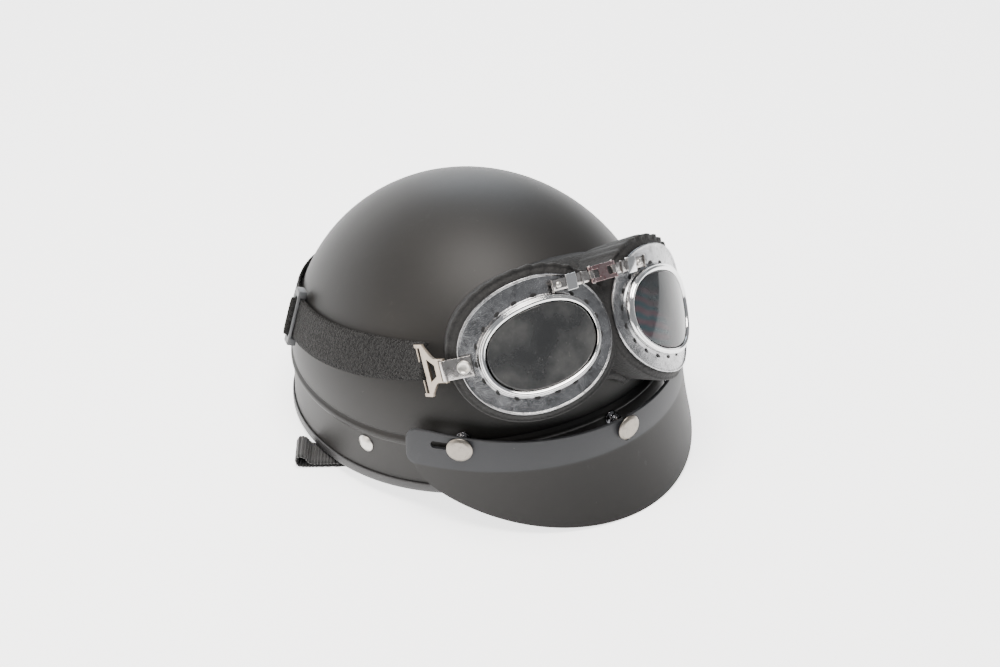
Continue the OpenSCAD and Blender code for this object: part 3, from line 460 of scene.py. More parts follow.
def softenEdges(nodeName, material, body, width, segments=3, angle=32):
    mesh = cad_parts[nodeName].data.copy()
    bm = bmesh.new()
    bm.from_mesh(mesh)
    bmesh.ops.remove_doubles(bm, verts=bm.verts, dist=2e-6)
    bmesh.ops.dissolve_limit(bm, angle_limit=math.radians(2), verts=bm.verts, edges=bm.edges)
    bmesh.ops.recalc_face_normals(bm, faces=bm.faces)
    bm.to_mesh(mesh)
    bm.free()
    mesh.materials.clear()
    mesh.materials.append(material)
    piece = bpy.data.objects.new(nodeName + "Soft", mesh)
    bpy.context.collection.objects.link(piece)
    bevel = piece.modifiers.new("edges", "BEVEL")
    bevel.width, bevel.segments = width / 1000, segments
    bevel.limit_method, bevel.angle_limit = "ANGLE", math.radians(angle)
    bevel.harden_normals = False
    for poly in mesh.polygons:
        poly.use_smooth = True
    done = bpy.data.meshes.new_from_object(piece.evaluated_get(bpy.context.evaluated_depsgraph_get()))
    piece.modifiers.clear()
    piece.data = done
    done.set_sharp_from_angle(angle=math.radians(38))
    return settle(piece, body, (nodeName,))


# shell, rim and lining

def wallRow(h, off, columns, lift=True):
    step = 360 / columns
    return [stand(wall(i * step, h + (rimZ(i * step) * riseShare(h) if lift else 0), off)) for i in range(columns)]


def buildShell():
    n, bead, at = shell["columns"], shell["bead"], shell["beadHeight"]
    outer = [(h, 0.0) for h in (0.6, 4, 9, 14, 19, 24, 29)] + [(at - 3.4, 0.0)]
    outer += [(at - 2.4 + 4.8 * i / 10, bead * math.sqrt(max(0.0, 1 - ((i - 5) / 5) ** 2)) * 0.98) for i in range(11)]
    outer += [(at + 2.7, -0.15), (at + 3.1, -0.55), (at + 3.8, -0.55), (at + 4.2, -0.1), (at + 5.2, 0.0)]
    outer += [(domeZ(level), 0.0) for level in range(9, 90, 3)]
    inner = [(domeZ(level, -shell["wall"]), -shell["wall"]) for level in range(87, 8, -4)]
    inner += [(h, -shell["wall"]) for h in (38, 28, 18, 8, 0.6)]
    rows = [wallRow(h, o, n) for h, o in outer]
    rows.append([stand(Vector((0, 0, shell["crown"])))])
    rows = rows[::-1]
    rows += [wallRow(0.0, -0.6, n), wallRow(0.0, -shell["wall"] + 0.6, n)]
    rows += [wallRow(h, o, n) for h, o in inner[::-1]]
    rows.append([stand(Vector((0, 0, shell["crown"] - shell["wall"])))])
    points, faces = bowlFaces(rows)
    return meshPiece("paintedShell", points, faces, mattBlack, "helmet", ("outer_shell",))


def buildRim():
    t, low, high, w, g = rimSize["thick"], -rimSize["low"], rimSize["high"], shell["wall"], 0.3
    section = [(t * 0.35, high), (t * 0.85, high - 0.3), (t, high - 0.9), (t, 0.4), (t * 0.9, low * 0.5),
               (t * 0.35, low * 0.9), (-w * 0.5, low), (-w - t * 0.5, low * 0.9), (-w - t * 0.95, low * 0.4),
               (-w - t, 0.6), (-w - t, high - 0.7),
               (-w - t * 0.7, high), (-w - g, high - 0.2), (-w - g, -g), (g, -g), (g, high - 0.3)]
    n = shell["columns"]
    rows = [[stand(wall(i * 360 / n, rimZ(i * 360 / n) + h, o)) for o, h in section] for i in range(n)]
    points, faces = sweep(rows, ring=True)
    return meshPiece("rimTrim", points, faces, rimRubber, "helmet", ("edge_trim",))


liningSize = {"foamOut": -3.8, "foamThick": 19.0, "padThick": 7.0, "low": 16.0, "high": 58.0, "padHalf": 20.0,
              "columns": 96}


def buildLining():
    out, thick = liningSize["foamOut"], liningSize["foamThick"]
    low, n = liningSize["low"], liningSize["columns"]
    inside, step = out - thick, 360 / n
    rows = [[stand(Vector((0, 0, shell["crown"] + out)))]]
    rows += [wallRow(domeZ(level, out), out, n) for level in range(86, 8, -6)]
    rows += [wallRow(39, out, n), wallRow(38, out - 6, n), wallRow(26, out - 6, n), wallRow(low, out - 6.6, n)]
    rows += [wallRow(low, inside + 1, n), wallRow(low + 1, inside, n)]
    rows += [wallRow(domeZ(level, inside), inside, n) for level in range(4, 88, 6)]
    rows.append([stand(Vector((0, 0, shell["crown"] + inside)))])
    points, faces = bowlFaces(rows)
    meshPiece("linerFoamBowl", points, faces, foamBlack, "helmet", ("foam_liner",))
    padOut, padIn = inside - 0.9, inside - 0.9 - liningSize["padThick"]
    for name, middle, arc, extra, node in (("headband", 0, 118, 0, "headband_pad"),
                                           ("nape", 180, 50, 1.6, "nape_pad")):
        rows, count = [], int(arc * 1.6)
        for i in range(count + 1):
            a = middle - arc + 2 * arc * i / count
            puff = 0.72 + 0.28 * abs(sin(pi * (i / count) * round(arc / 11)))
            end = clamp(min(i, count - i) / 3, 0.15, 1)
            row = []
            for j in range(20):
                t = 2 * pi * j / 20
                h = (liningSize["low"] + 1 + liningSize["high"]) / 2
                if abs(sin(t)) > 1e-6:
                    h += liningSize["padHalf"] * sin(t) * abs(sin(t)) ** -0.35
                depth = (padIn - extra) if cos(t) > 0 else padOut
                share = abs(cos(t)) ** 0.45 if cos(t) > 0 else 0
                o = padOut - 0.4 + (depth - padOut) * share * puff * end
                row.append(stand(wall(a, h + (rimZ(a) * riseShare(h) if node == "headband_pad" else 0), o)))
            rows.append(row)
        points, faces = sweep(rows)
        pad = meshPiece(name + "Pad", points, faces, liningCloth, "helmet", (node,))
    rows = [[stand(Vector((0, 0, shell["crown"] + padOut)))]]
    rows += [wallRow(domeZ(level, padOut), padOut, n) for level in range(86, 33, -4)]
    rows += [wallRow(domeZ(34, padOut), padOut - 3.5, n)]

    def crowned(level):
        quilt = [1.2 * abs(sin(math.radians(i * step * 4))) ** 0.5 * cos(math.radians(level)) for i in range(n)]
        return [stand(wall(i * step, domeZ(level, padIn), padIn + 1.3 - quilt[i])) for i in range(n)]
    rows += [crowned(level) for level in range(38, 89, 5)]
    rows.append([stand(Vector((0, 0, shell["crown"] + padIn + 1.3)))])
    points, faces = bowlFaces(rows)
    pad = meshPiece("crownPad", points, faces, liningCloth, "helmet", ("crown_pad",))


buildShell()
buildRim()
buildLining()
print("shell, rim and lining made")

# rivets, snaps and peak

snapSize = {"angle": 46.6, "sideHeight": 46.8, "frontHeight": 43.0, "cap": 17.0, "capThick": 2.2, "neck": 4.2,
            "gap": 1.5, "slot": 23.0, "frontSlot": 21.0, "slotWide": 5.0, "cutDeep": 14}


def gapAt(a):
    peak = peakSize
    share = max(0.0, cos(math.radians(a * 90 / peak["tabAngle"]))) ** 1.2
    return peak["tabGap"] + (peak["bandGap"] - peak["tabGap"]) * share


def endShare(a):
    past = (abs(a) - peakSize["tabAngle"]) * peakSize["tabSpread"] + peakSize["tabRound"]
    return 0.0 if past <= 0 else 1 - math.sqrt(max(0.0, 1 - (past / peakSize["tabRound"]) ** 2))


def bandTop(a):
    peak = peakSize
    rise = peak["bandRise"] * min(1, abs(a) / peak["riseBy"]) ** 2
    return peak["crease"] + peak["band"] + rise - peak["tabRound"] * endShare(a)


def bandLow(a):
    return peakSize["crease"] - 2 + peakSize["tabRound"] * endShare(a)


def creaseZ(a):
    peak = peakSize
    k = min(1, 4 * max(0.0, cos(math.radians(a * 90 / peak["billAngle"]))))
    return peak["crease"] * k + (bandLow(a) + 2) * (1 - k)


def billPoint(a, share, off):
    peak = peakSize
    w = max(0.0, cos(math.radians(a * 90 / peak["billAngle"])))
    tipOff = peak["tabGap"] + (peak["reach"] - peak["tabGap"]) * w ** 1.6
    tipZ = bandLow(a) - (peak["crease"] - 2 + peak["drop"]) * w ** 0.54
    topZ = creaseZ(a)
    return wall(a, topZ + (tipZ - topZ) * share, gapAt(a) + (tipOff - gapAt(a)) * share + off)


def snapPoint(s):
    return wall(s * snapSize["angle"], snapSize["frontHeight"] if s == 0 else snapSize["sideHeight"], 0)


def snapDir(s):
    d = outward(snapPoint(s))
    return Vector((d.x, d.y, 0)).normalized()


def snapReach(s):
    return (peakSize["bandGap"] if s == 0 else gapAt(snapSize["angle"])) + peakSize["thick"]


def capsule(centre, axis, along, width, length, depth):
    side = axis.cross(along).normalized()
    ring = []
    for i in range(32):
        t = 2 * pi * i / 32
        reach = cos(t) * width / 2 + math.copysign((length - width) / 2, cos(t))
        ring.append(centre + (along * reach + side * sin(t) * width / 2) / 1000)
    rows = [[p + axis * depth[0] / 1000 for p in ring], [p + axis * depth[1] / 1000 for p in ring]]
    return sweep(rows)


def cutMesh(points, faces, cutters):
    base = bpy.data.meshes.new("blank")
    base.from_pydata([tuple(p) for p in points], [], faces)
    piece = bpy.data.objects.new("blank", base)
    bpy.context.collection.objects.link(piece)
    outwardFaces(piece)
    tools = []
    for p, f in cutters:
        mesh = bpy.data.meshes.new("cutter")
        mesh.from_pydata([tuple(v) for v in p], [], f)
        tool = bpy.data.objects.new("cutter", mesh)
        bpy.context.collection.objects.link(tool)
        outwardFaces(tool)
        tools.append(tool)
        cut = piece.modifiers.new("cut", "BOOLEAN")
        cut.operation, cut.solver, cut.object = "DIFFERENCE", "EXACT", tool
    done = bpy.data.meshes.new_from_object(piece.evaluated_get(bpy.context.evaluated_depsgraph_get()))
    for o in tools + [piece]:
        bpy.data.objects.remove(o)
    return done


def pieceFromMesh(name, mesh, material, body, nodes=(), sharp=40):
    mesh.materials.clear()
    mesh.materials.append(material)
    for poly in mesh.polygons:
        poly.use_smooth = True
        poly.material_index = 0
    mesh.set_sharp_from_angle(angle=math.radians(sharp))
    mesh.name = name
    piece = bpy.data.objects.new(name, mesh)
    bpy.context.collection.objects.link(piece)
    return settle(piece, body, nodes)


def buildPeak():
    peak, n = peakSize, peakSize["columns"]
    rows = []
    for i in range(n + 1):
        a = peak["tabAngle"] * sin(pi / 2 * (2 * i / n - 1))
        g, t = gapAt(a), peak["thick"] * (1 - 0.35 * endShare(a))
        top = bandTop(a)
        fold = creaseZ(a)
        mid = (top + fold) / 2
        outer = [wall(a, top - 0.5, g + t), wall(a, top * 0.7 + mid * 0.3, g + t), wall(a, mid, g + t),
                 wall(a, mid * 0.3 + fold * 0.7, g + t), wall(a, fold + 0.6, g + t)]
        outer += [billPoint(a, s, t) for s in (0.01, 0.05, 0.15, 0.3, 0.5, 0.7, 0.85, 0.95, 0.985)]
        inner = [billPoint(a, s, 0) for s in (0.985, 0.95, 0.7, 0.5, 0.3, 0.12)]
        inner += [wall(a, mid, g), wall(a, top - 0.5, g)]
        edge = [billPoint(a, 1.0, t * 0.75), billPoint(a, 1.0, t * 0.25)]
        rim = [wall(a, top, g + t * 0.25), wall(a, top, g + t * 0.75)]
        rows.append([stand(p) for p in outer + edge + inner + rim])
    points, faces = sweep(rows)
    cutters, wide, deep = [], snapSize["slotWide"], (0, snapSize["cutDeep"])
    for s in (-1, 1):
        d = snapDir(s)
        tangent = Vector((-d.y, d.x, 0)) * s  # from the snap towards the ear
        centre = stand(snapPoint(s) + d * 4 + tangent * ((snapSize["slot"] - wide) / 2 - 1))
        cutters.append(capsule(centre, lean(d), lean(tangent).normalized(), wide, snapSize["slot"], deep))
    d = snapDir(0)
    centre = stand(snapPoint(0) + d * 8)
    cutters.append(capsule(centre, lean(d), lean(Vector((0, 0, 1))), wide, snapSize["frontSlot"], deep))
    mesh = cutMesh(points, faces, cutters)
    return pieceFromMesh("peakMoulding", mesh, mattPeak, "peak", ("peak",), 34)


def buildSnaps():
    c, t = snapSize["cap"] / 2, snapSize["capThick"]
    for s, name, body in ((-1, "right", "cap_right"), (0, "front", "cap_front"), (1, "left", "cap_left")):
        reach, d, at = snapReach(s), lean(snapDir(s)), stand(snapPoint(s))
        face = reach + snapSize["gap"]
        profile = [(0, face + t), (c - 2.6, face + t), (c - 2.2, face + t - 0.06), (c - 1.6, face + t - 0.30),
                   (c - 0.7, face + t - 0.85), (c - 0.15, face + t - 1.15), (c, face + t - 1.45),
                   (c, face + 0.25), (c - 0.25, face), (snapSize["neck"] / 2, face),
                   (snapSize["neck"] / 2, reach - 4.4), (1.5, reach - 4.4), (1.5, reach - 0.9), (0, reach - 0.9)]
        points, faces = lathe(profile, at, d)
        meshPiece("snapCap" + name.capitalize(), points, faces, pewter, body, ("snap_cap_" + name,))
    for name, sides, node in (("sideStuds", (-1, 1), "side_snap_studs"), ("frontStud", (0,), "front_snap_stud")):
        parts = []
        for s in sides:
            reach, d, at = snapReach(s), lean(snapDir(s)), stand(snapPoint(s))
            profile = [(0, reach - 1.5), (1.2, reach - 1.6), (1.4, reach - 2.0), (1.4, 8.8)]
            if s == 0:
                for z in (8.6, 5.8):
                    profile += [(3.3, z), (3.75, z - 0.3), (3.8, z - 0.9), (3.3, z - 1.2), (2.1, z - 1.25)]
            profile += [(2.3, 3.9), (2.5, 3.5), (2.5, 2.3), (4.2, 2.1), (4.5, 1.7), (4.5, 0.9), (1.6, 0.9),
                        (1.6, -5), (0, -5)]
            parts.append(lathe(profile, at, d, 48))
        points, faces = joined(parts)
        meshPiece(name, points, faces, darkStud, "helmet", (node,))


rivetSize = {"angle": 78, "height": 25, "head": 12.0, "steps": 48}


def buildRivets():
    r = rivetSize["head"] / 2
    for name, profile, node in (
            ("strapRivets", [(0, 2.5), (1.5, 2.45), (3.2, 2.05), (4.6, 1.35), (5.5, 0.7), (r, 0.35), (r - 0.1, 0.15),
                             (1.95, 0.15), (1.95, -8.0), (0, -8.3)], "strap_rivets"),
            ("rivetWashers", [(2.0, -6.5), (6.6, -6.5), (7.0, -6.7), (7.0, -7.5), (6.8, -7.7), (2.0, -7.7)],
             "rivet_washers")):
        parts = []
        for side in (-1, 1):
            p = wall(side * rivetSize["angle"], rivetSize["height"], 0)
            if node == "rivet_washers":
                axis = lean(outward(p)).normalized()
                u = axis.orthogonal().normalized()
                v = axis.cross(u)
                rows = []
                for i in range(rivetSize["steps"]):
                    t = 2 * pi * i / rivetSize["steps"]
                    rows.append([stand(p) + (u * cos(t) * q + v * sin(t) * q + axis * h) / 1000 for q, h in profile])
                parts.append(sweep(rows, ring=True))
            else:
                parts.append(lathe(profile, stand(p), lean(outward(p))))
        points, faces = joined(parts)
        meshPiece(name, points, faces, rivetMetal, "helmet", (node,))


buildPeak()
buildSnaps()
buildRivets()
print("peak, snaps and rivets made")

# goggles, built in their own upright frame and turned askew

goggleSize = {"turn": -2.5, "roll": 8.0, "frameLong": 49.8, "frameHigh": 41.9, "lensLong": 37.1, "lensHigh": 26.0,
              "framePower": 2.15, "lensPower": 2.21, "lensBulge": 1.8, "rise": 5.9, "bow": 0.00405, "columns": 192}
holeSize = {"count": 19, "turn": 0.05, "share": 0.285, "off": 1.24, "radius": 0.0014, "depth": 0.0003, "long": 1.5}
padSize = {"clear": 1.2, "columns": 600, "pleats": 34, "noseHalf": 28, "noseSteps": 80, "nosePleats": 7,
           "noseAhead": -270, "noseLow": 72, "noseHigh": 136}
gog = goggleSize
askewCentre = Vector((0, 0, 60))


def turned(q):
    r, t = math.radians(gog["roll"]), math.radians(gog["turn"])
    x, z = q.x * cos(r) + q.z * sin(r), q.z * cos(r) - q.x * sin(r)
    return Vector((x * cos(t) - q.y * sin(t), x * sin(t) + q.y * cos(t), z))


def mirrored(p, side):
    return p.copy() if side < 0 else Vector((-p.x, p.y, p.z))


def helmetPoint(p, side):  # goggles' frame to the helmet's
    return askewCentre + turned(mirrored(p, side) - askewCentre)


def put(p, side):
    return stand(helmetPoint(p, side))


def aimed(d, side):
    return lean(turned(mirrored(d, side)))


faceCentre = Vector((-51, -126, 107.5))
turnAngle, leanAngle, longAngle = (math.radians(v) for v in (27.2, 23.7, 22))
faceN = Vector((-sin(turnAngle) * cos(leanAngle), -cos(turnAngle) * cos(leanAngle), sin(leanAngle)))
levelR = Vector((cos(turnAngle), -sin(turnAngle), 0))
levelU = faceN.cross(levelR)
faceR = levelR * cos(longAngle) + levelU * sin(longAngle)
faceU = levelU * cos(longAngle) - levelR * sin(longAngle)
lensShift = (1.9, -1.6)


def facePoint(x, y, off):
    return faceCentre + faceR * x + faceU * y + faceN * (off - gog["bow"] * x * x)


def oval(t, a, b, power):
    c, s = cos(t), sin(t)
    return (math.copysign(a * abs(c) ** (2 / power), c), math.copysign(b * abs(s) ** (2 / power), s))


def lensOval(t, grow=0.0):
    return oval(t, gog["lensLong"] + grow, gog["lensHigh"] + grow, gog["lensPower"])


def frameOval(t):
    return oval(t, gog["frameLong"], gog["frameHigh"], gog["framePower"])


def platePoint(t, share, off):
    i, o = lensOval(t), frameOval(t)
    ix, iy = i[0] + lensShift[0], i[1] + lensShift[1]
    return facePoint(ix + (o[0] - ix) * share, iy + (o[1] - iy) * share, off)


def evenAngles(count):  # angles spaced evenly along the frame's edge
    fine = [2 * pi * i / 2000 for i in range(2001)]
    at = [frameOval(t) for t in fine]
    length = [0.0]
    for a, b in zip(at, at[1:]):
        length.append(length[-1] + math.dist(a, b))
    out, j = [], 0
    for i in range(count):
        want = length[-1] * i / count
        while length[j + 1] < want:
            j += 1
        out.append(fine[j] + (fine[j + 1] - fine[j]) * (want - length[j]) / (length[j + 1] - length[j]))
    return out


plateAngles = evenAngles(gog["columns"])


def plateRing(section, side):
    return sweep([[put(platePoint(t, s, o), side) for s, o in section] for t in plateAngles], ring=True)


# outlines of the frame's and the ring's sections: share of the way from glass to frame edge, and height
frameSection = [(1.0, 0.05), (1.005, 0.6), (1.0, 1.5), (0.985, 2.0), (0.965, 2.1), (0.945, 2.0), (0.925, 1.6),
                (0.905, 1.25), (0.88, 1.2), (0.60, 1.28), (0.30, 1.2), (0.24, 1.25), (0.215, 1.7), (0.19, 2.4),
                (0.16, 2.75), (0.10, 2.8), (0.05, 2.75), (0.04, 2.6), (0.04, 0.05)]
ringSection = [(0.2, 3.15), (0.21, 4.0), (0.2, 5.4), (0.185, 6.0), (0.16, 6.15), (0.145, 5.95), (0.13, 6.1),
               (0.12, 6.8), (0.10, 7.1), (0.05, 7.1), (0.02, 6.95), (0.0, 6.6), (-0.02, 6.3), (-0.04, 6.1),
               (-0.04, 3.15)]


def buildLens(side):
    rim, back = 0.955, gog["rise"] - 2

    def row(share, off):
        if share == 0:
            return [put(facePoint(lensShift[0], lensShift[1], off + gog["lensBulge"]), side)]
        q = [lensOval(t) for t in plateAngles]
        crown = off + gog["lensBulge"] * (1 - share * share)
        return [put(facePoint(x * share + lensShift[0], y * share + lensShift[1], crown), side) for x, y in q]
    rows = [row(s, back + 1.6) for s in (0, 0.1, 0.25, 0.4, 0.55, 0.7, 0.82, 0.92, rim)]
    rows += [row(s, back) for s in (rim, 0.8, 0.6, 0.4, 0.2, 0)]
    return bowlFaces(rows)


def geoTree(name, inputs):
    tree = bpy.data.node_groups.new(name, "GeometryNodeTree")
    tree.interface.new_socket("Geometry", in_out="INPUT", socket_type="NodeSocketGeometry")
    names = {}
    for label, value in inputs.items():
        kind = "NodeSocketInt" if isinstance(value, int) else "NodeSocketFloat"
        names[label] = tree.interface.new_socket(label, in_out="INPUT", socket_type=kind).identifier
    tree.interface.new_socket("Geometry", in_out="OUTPUT", socket_type="NodeSocketGeometry")
    return tree, tree.nodes.new("NodeGroupInput"), tree.nodes.new("NodeGroupOutput"), names


def repeatedAlong(path, normals, inputs, makeShape, material):
    mesh = bpy.data.meshes.new("path")
    mesh.from_pydata([tuple(p) for p in path], [], [])
    facing = mesh.attributes.new("facing", "FLOAT_VECTOR", "POINT")
    running = mesh.attributes.new("running", "FLOAT_VECTOR", "POINT")
    n = len(path)
    for i in range(n):
        facing.data[i].vector = tuple(normals[i])
        run = path[(i + 1) % n] - path[i - 1]
        running.data[i].vector = tuple(run.normalized())
    holder = bpy.data.objects.new("path", mesh)
    bpy.context.collection.objects.link(holder)
    tree, start, end, names = geoTree("repeatAlong", inputs)
    nodes, links = tree.nodes, tree.links
    shape = makeShape(nodes, links, start)
    onPoints = nodes.new("GeometryNodeInstanceOnPoints")
    aimZ = nodes.new("FunctionNodeAlignRotationToVector")
    aimZ.axis = "Z"
    aimX = nodes.new("FunctionNodeAlignRotationToVector")
    aimX.axis, aimX.pivot_axis = "X", "Z"
    for label, node in (("facing", aimZ), ("running", aimX)):
        read = nodes.new("GeometryNodeInputNamedAttribute")
        read.data_type = "FLOAT_VECTOR"
        read.inputs["Name"].default_value = label
        links.new(read.outputs["Attribute"], node.inputs["Vector"])
    links.new(aimZ.outputs["Rotation"], aimX.inputs["Rotation"])
    links.new(aimX.outputs["Rotation"], onPoints.inputs["Rotation"])
    links.new(start.outputs["Geometry"], onPoints.inputs["Points"])
    links.new(shape, onPoints.inputs["Instance"])
    real = nodes.new("GeometryNodeRealizeInstances")
    paint = nodes.new("GeometryNodeSetMaterial")
    paint.inputs["Material"].default_value = material
    links.new(onPoints.outputs["Instances"], real.inputs[0])
    links.new(real.outputs[0], paint.inputs["Geometry"])
    links.new(paint.outputs["Geometry"], end.inputs["Geometry"])
    mod = holder.modifiers.new("repeat", "NODES")
    mod.node_group = tree
    for label, value in inputs.items():
        mod[names[label]] = value
    done = bpy.data.meshes.new_from_object(holder.evaluated_get(bpy.context.evaluated_depsgraph_get()))
    bpy.data.objects.remove(holder)
    return done


def holeShape(nodes, links, start):  # short dark pin with a rounded slot's outline, set on the frame as painted shade for a vent hole
    disc = nodes.new("GeometryNodeMeshCylinder")
    disc.inputs["Vertices"].default_value = 20
    links.new(start.outputs["Radius"], disc.inputs["Radius"])
    links.new(start.outputs["Depth"], disc.inputs["Depth"])
    stretch = nodes.new("GeometryNodeTransform")
    stretch.inputs["Scale"].default_value = (holeSize["long"], 1.0, 1.0)
    links.new(disc.outputs["Mesh"], stretch.inputs["Geometry"])
    return stretch.outputs["Geometry"]


def buildFrames():
    for side, word in ((-1, "right"), (1, "left")):
        points, faces = plateRing(frameSection, side)
        meshPiece("frame" + word.capitalize(), points, faces, chrome, "goggles", ("frame_" + word,))
        points, faces = plateRing(ringSection, side)
        meshPiece("lensRing" + word.capitalize(), points, faces, ringChrome, "goggles",
                  ("lens_ring_" + word,))
        points, faces = buildLens(side)
        meshPiece("lens" + word.capitalize(), points, faces, lensNear if side < 0 else lensFar, "goggles",
                  ("lens_" + word,))
        # dark pins stand in for the frame's vent holes: painted shade, the plate is not cut through
        z = holeSize
        path = [put(platePoint(t + z["turn"], z["share"], z["off"]), side) for t in evenAngles(z["count"])]
        mesh = repeatedAlong(path, [aimed(faceN, side)] * len(path), {"Radius": z["radius"], "Depth": z["depth"]},
                             holeShape, holeShade)
        pieceFromMesh("frameHoles" + word.capitalize(), mesh, holeShade, "goggles")


def padRay(p, side):
    return (turned(mirrored(faceN, side)) * -0.6 + (askewCentre - p).normalized() * 0.4).normalized()


def buildPad():
    z, clear, parts = padSize, padSize["clear"], []
    for side in (-1, 1):
        rows, count = [], z["columns"]
        angles = evenAngles(count)
        for i, t in enumerate(angles):
            edge = Vector(frameOval(t))
            way, spread = edge.normalized(), 0.90 + 0.10 * sin(t)

            def at(d, off):
                q = edge + way * d
                return helmetPoint(facePoint(q.x, q.y, off), side)
            skirt = at(6 * spread, -3)
            back = meet(skirt, padRay(skirt, side), clear)
            h = lensOval(t, 1.5)
            eye = helmetPoint(facePoint(h[0] + lensShift[0], h[1] + lensShift[1], -0.3), side)
            eyeBack = meet(eye, padRay(eye, side), clear)
            mid = skirt * 0.45 + back * 0.55 + outward(back) * 1.2
            top = clamp(sin(t) * 1.6 + 0.25)  # pleats along the upper edge only
            wave = sin(i / count * 2 * pi * z["pleats"] + 1.5 * noise.noise(Vector((i * 0.02, side, 0))))
            pleat = wave * top * (0.25 + 0.75 * abs(noise.noise(Vector((i * 0.045, side * 3.0, 5))) * 2))
            keys = [at(-1.5, -0.35), at(1.2 * spread, -0.7), at(3.6 * spread, -1.8) + outward(back) * (0.5 * pleat),
                    skirt + outward(back) * (1.3 * pleat) + turned(mirrored(faceU, side)) * (0.5 * top),
                    mid + outward(back) * (1.1 * pleat),
                    back * 0.75 + mid * 0.25 + outward(back) * (0.6 + 0.3 * pleat), back]
            run = smoothRun([tuple(k) for k in keys], 4)
            halfway = meet(back * 0.5 + eyeBack * 0.5 + outward(back) * 6, -outward(back), clear)
            run += smoothRun([tuple(back), tuple(halfway), tuple(eyeBack)], 3)[1:]
            run += smoothRun([tuple(eyeBack), tuple(eye)], 3)[1:]
            rows.append([stand(Vector(p)) for p in run])
        parts.append(sweep(rows, ring=True))

    def noseAt(x, height, off):
        p = askewCentre + turned(Vector((x, z["noseAhead"], height)) - askewCentre)
        return meet(p, turned(Vector((0, 1, 0))), off)
    rows, half, n = [], z["noseHalf"], z["noseSteps"]
    for i in range(n + 1):
        x = -half + 2 * half * i / n
        low, high = z["noseLow"] - 0.022 * min(abs(x), 19) ** 2, z["noseHigh"] - 0.004 * x * x
        pleat = 0.7 * sin(i / n * 2 * pi * z["nosePleats"] + noise.noise(Vector((i * 0.1, 0, 0))) * 3)
        outer = [(low, clear + 0.4), (low - 0.4, 4.2), (low + 1.5, 7.4), (low + 4.5, 7.9), (low + 8, 6.9),
                 (low + 12, 8.2), (low + 20, 8.9), (low * 0.5 + high * 0.5, 9), (high - 12, 9 + pleat * 0.4),
                 (high - 6, 9.2 + pleat), (high - 2, 8.2 + pleat), (high + 0.2, 5), (high, clear + 0.4)]
        inner = [(high - 3, clear), (high * 0.75 + low * 0.25, clear), (high * 0.5 + low * 0.5, clear),
                 (high * 0.25 + low * 0.75, clear), (low + 3, clear)]
        thin = 1 - abs(x / half) ** 3
        rows.append([stand(noseAt(x, up, min(off, 2.2 + (off - 2.2) * thin))) for up, off in outer + inner])
    parts.append(sweep(rows))
    points, faces = joined(parts)
    pad = meshPiece("facePadding", points, faces, leather, "goggles", ("face_pad",))


buildFrames()
buildPad()
for node, material, width in (("bracket_right", bridgeChrome, 0.35), ("bracket_left", bridgeChrome, 0.35),
                              ("bridge_clamps", bridgeChrome, 0.3), ("bridge_link", linkChrome, 0.3),
                              ("bridge_pins", bridgeChrome, 0.2)):
    softenEdges(node, material, "goggles", width)
for word in ("right", "left"):
    softenEdges("strap_hook_" + word, warmPewter, "hook_" + word, 0.55, 3)
print("goggles made")

# the brackets and hooks lie where the strap leaves the frames, flat to the shell
bracketX, bracketY, knuckleReach, knuckleOff, rodReach = -46.0, 4.5, 12.5, 1.4, 25.0
bracketOut = (faceN + faceR * (2 * gog["bow"] * bracketX)).normalized()
raw = Vector((-0.705, 0.632, -0.322))
bracketAlong = (raw - bracketOut * raw.dot(bracketOut)).normalized()
bracketUp = bracketOut.cross(bracketAlong)
knuckle = facePoint(bracketX, bracketY, 0) + bracketAlong * knuckleReach + bracketOut * knuckleOff
raw = Vector((0, 0.9, -0.42))
hookX = (raw - bracketUp * raw.dot(bracketUp)).normalized()
bridgeSize = {"y": -121.3, "z": 142.5, "off": 2, "rootX": 26, "rootY": 29, "rootOff": 3.9, "end": 9, "plate": 30}


def clampShare(root, end):  # plates shorter than the usual length draw their sleeves closer
    return min(1.0, (end - root).length / bridgeSize["plate"])


def softBox(corners, width):  # eight corners, in pairs across, with rounded edges
    bm = bmesh.new()
    verts = [bm.verts.new(c) for c in corners]
    bmesh.ops.convex_hull(bm, input=verts)
    bmesh.ops.dissolve_limit(bm, angle_limit=0.05, verts=bm.verts, edges=bm.edges)
    bmesh.ops.bevel(bm, geom=list(bm.edges), offset=width / 1000, segments=3, affect="EDGES", profile=0.5)
    bm.verts.index_update()
    out = [v.co.copy() for v in bm.verts], [tuple(v.index for v in f.verts) for f in bm.faces]
    bm.free()
    return out


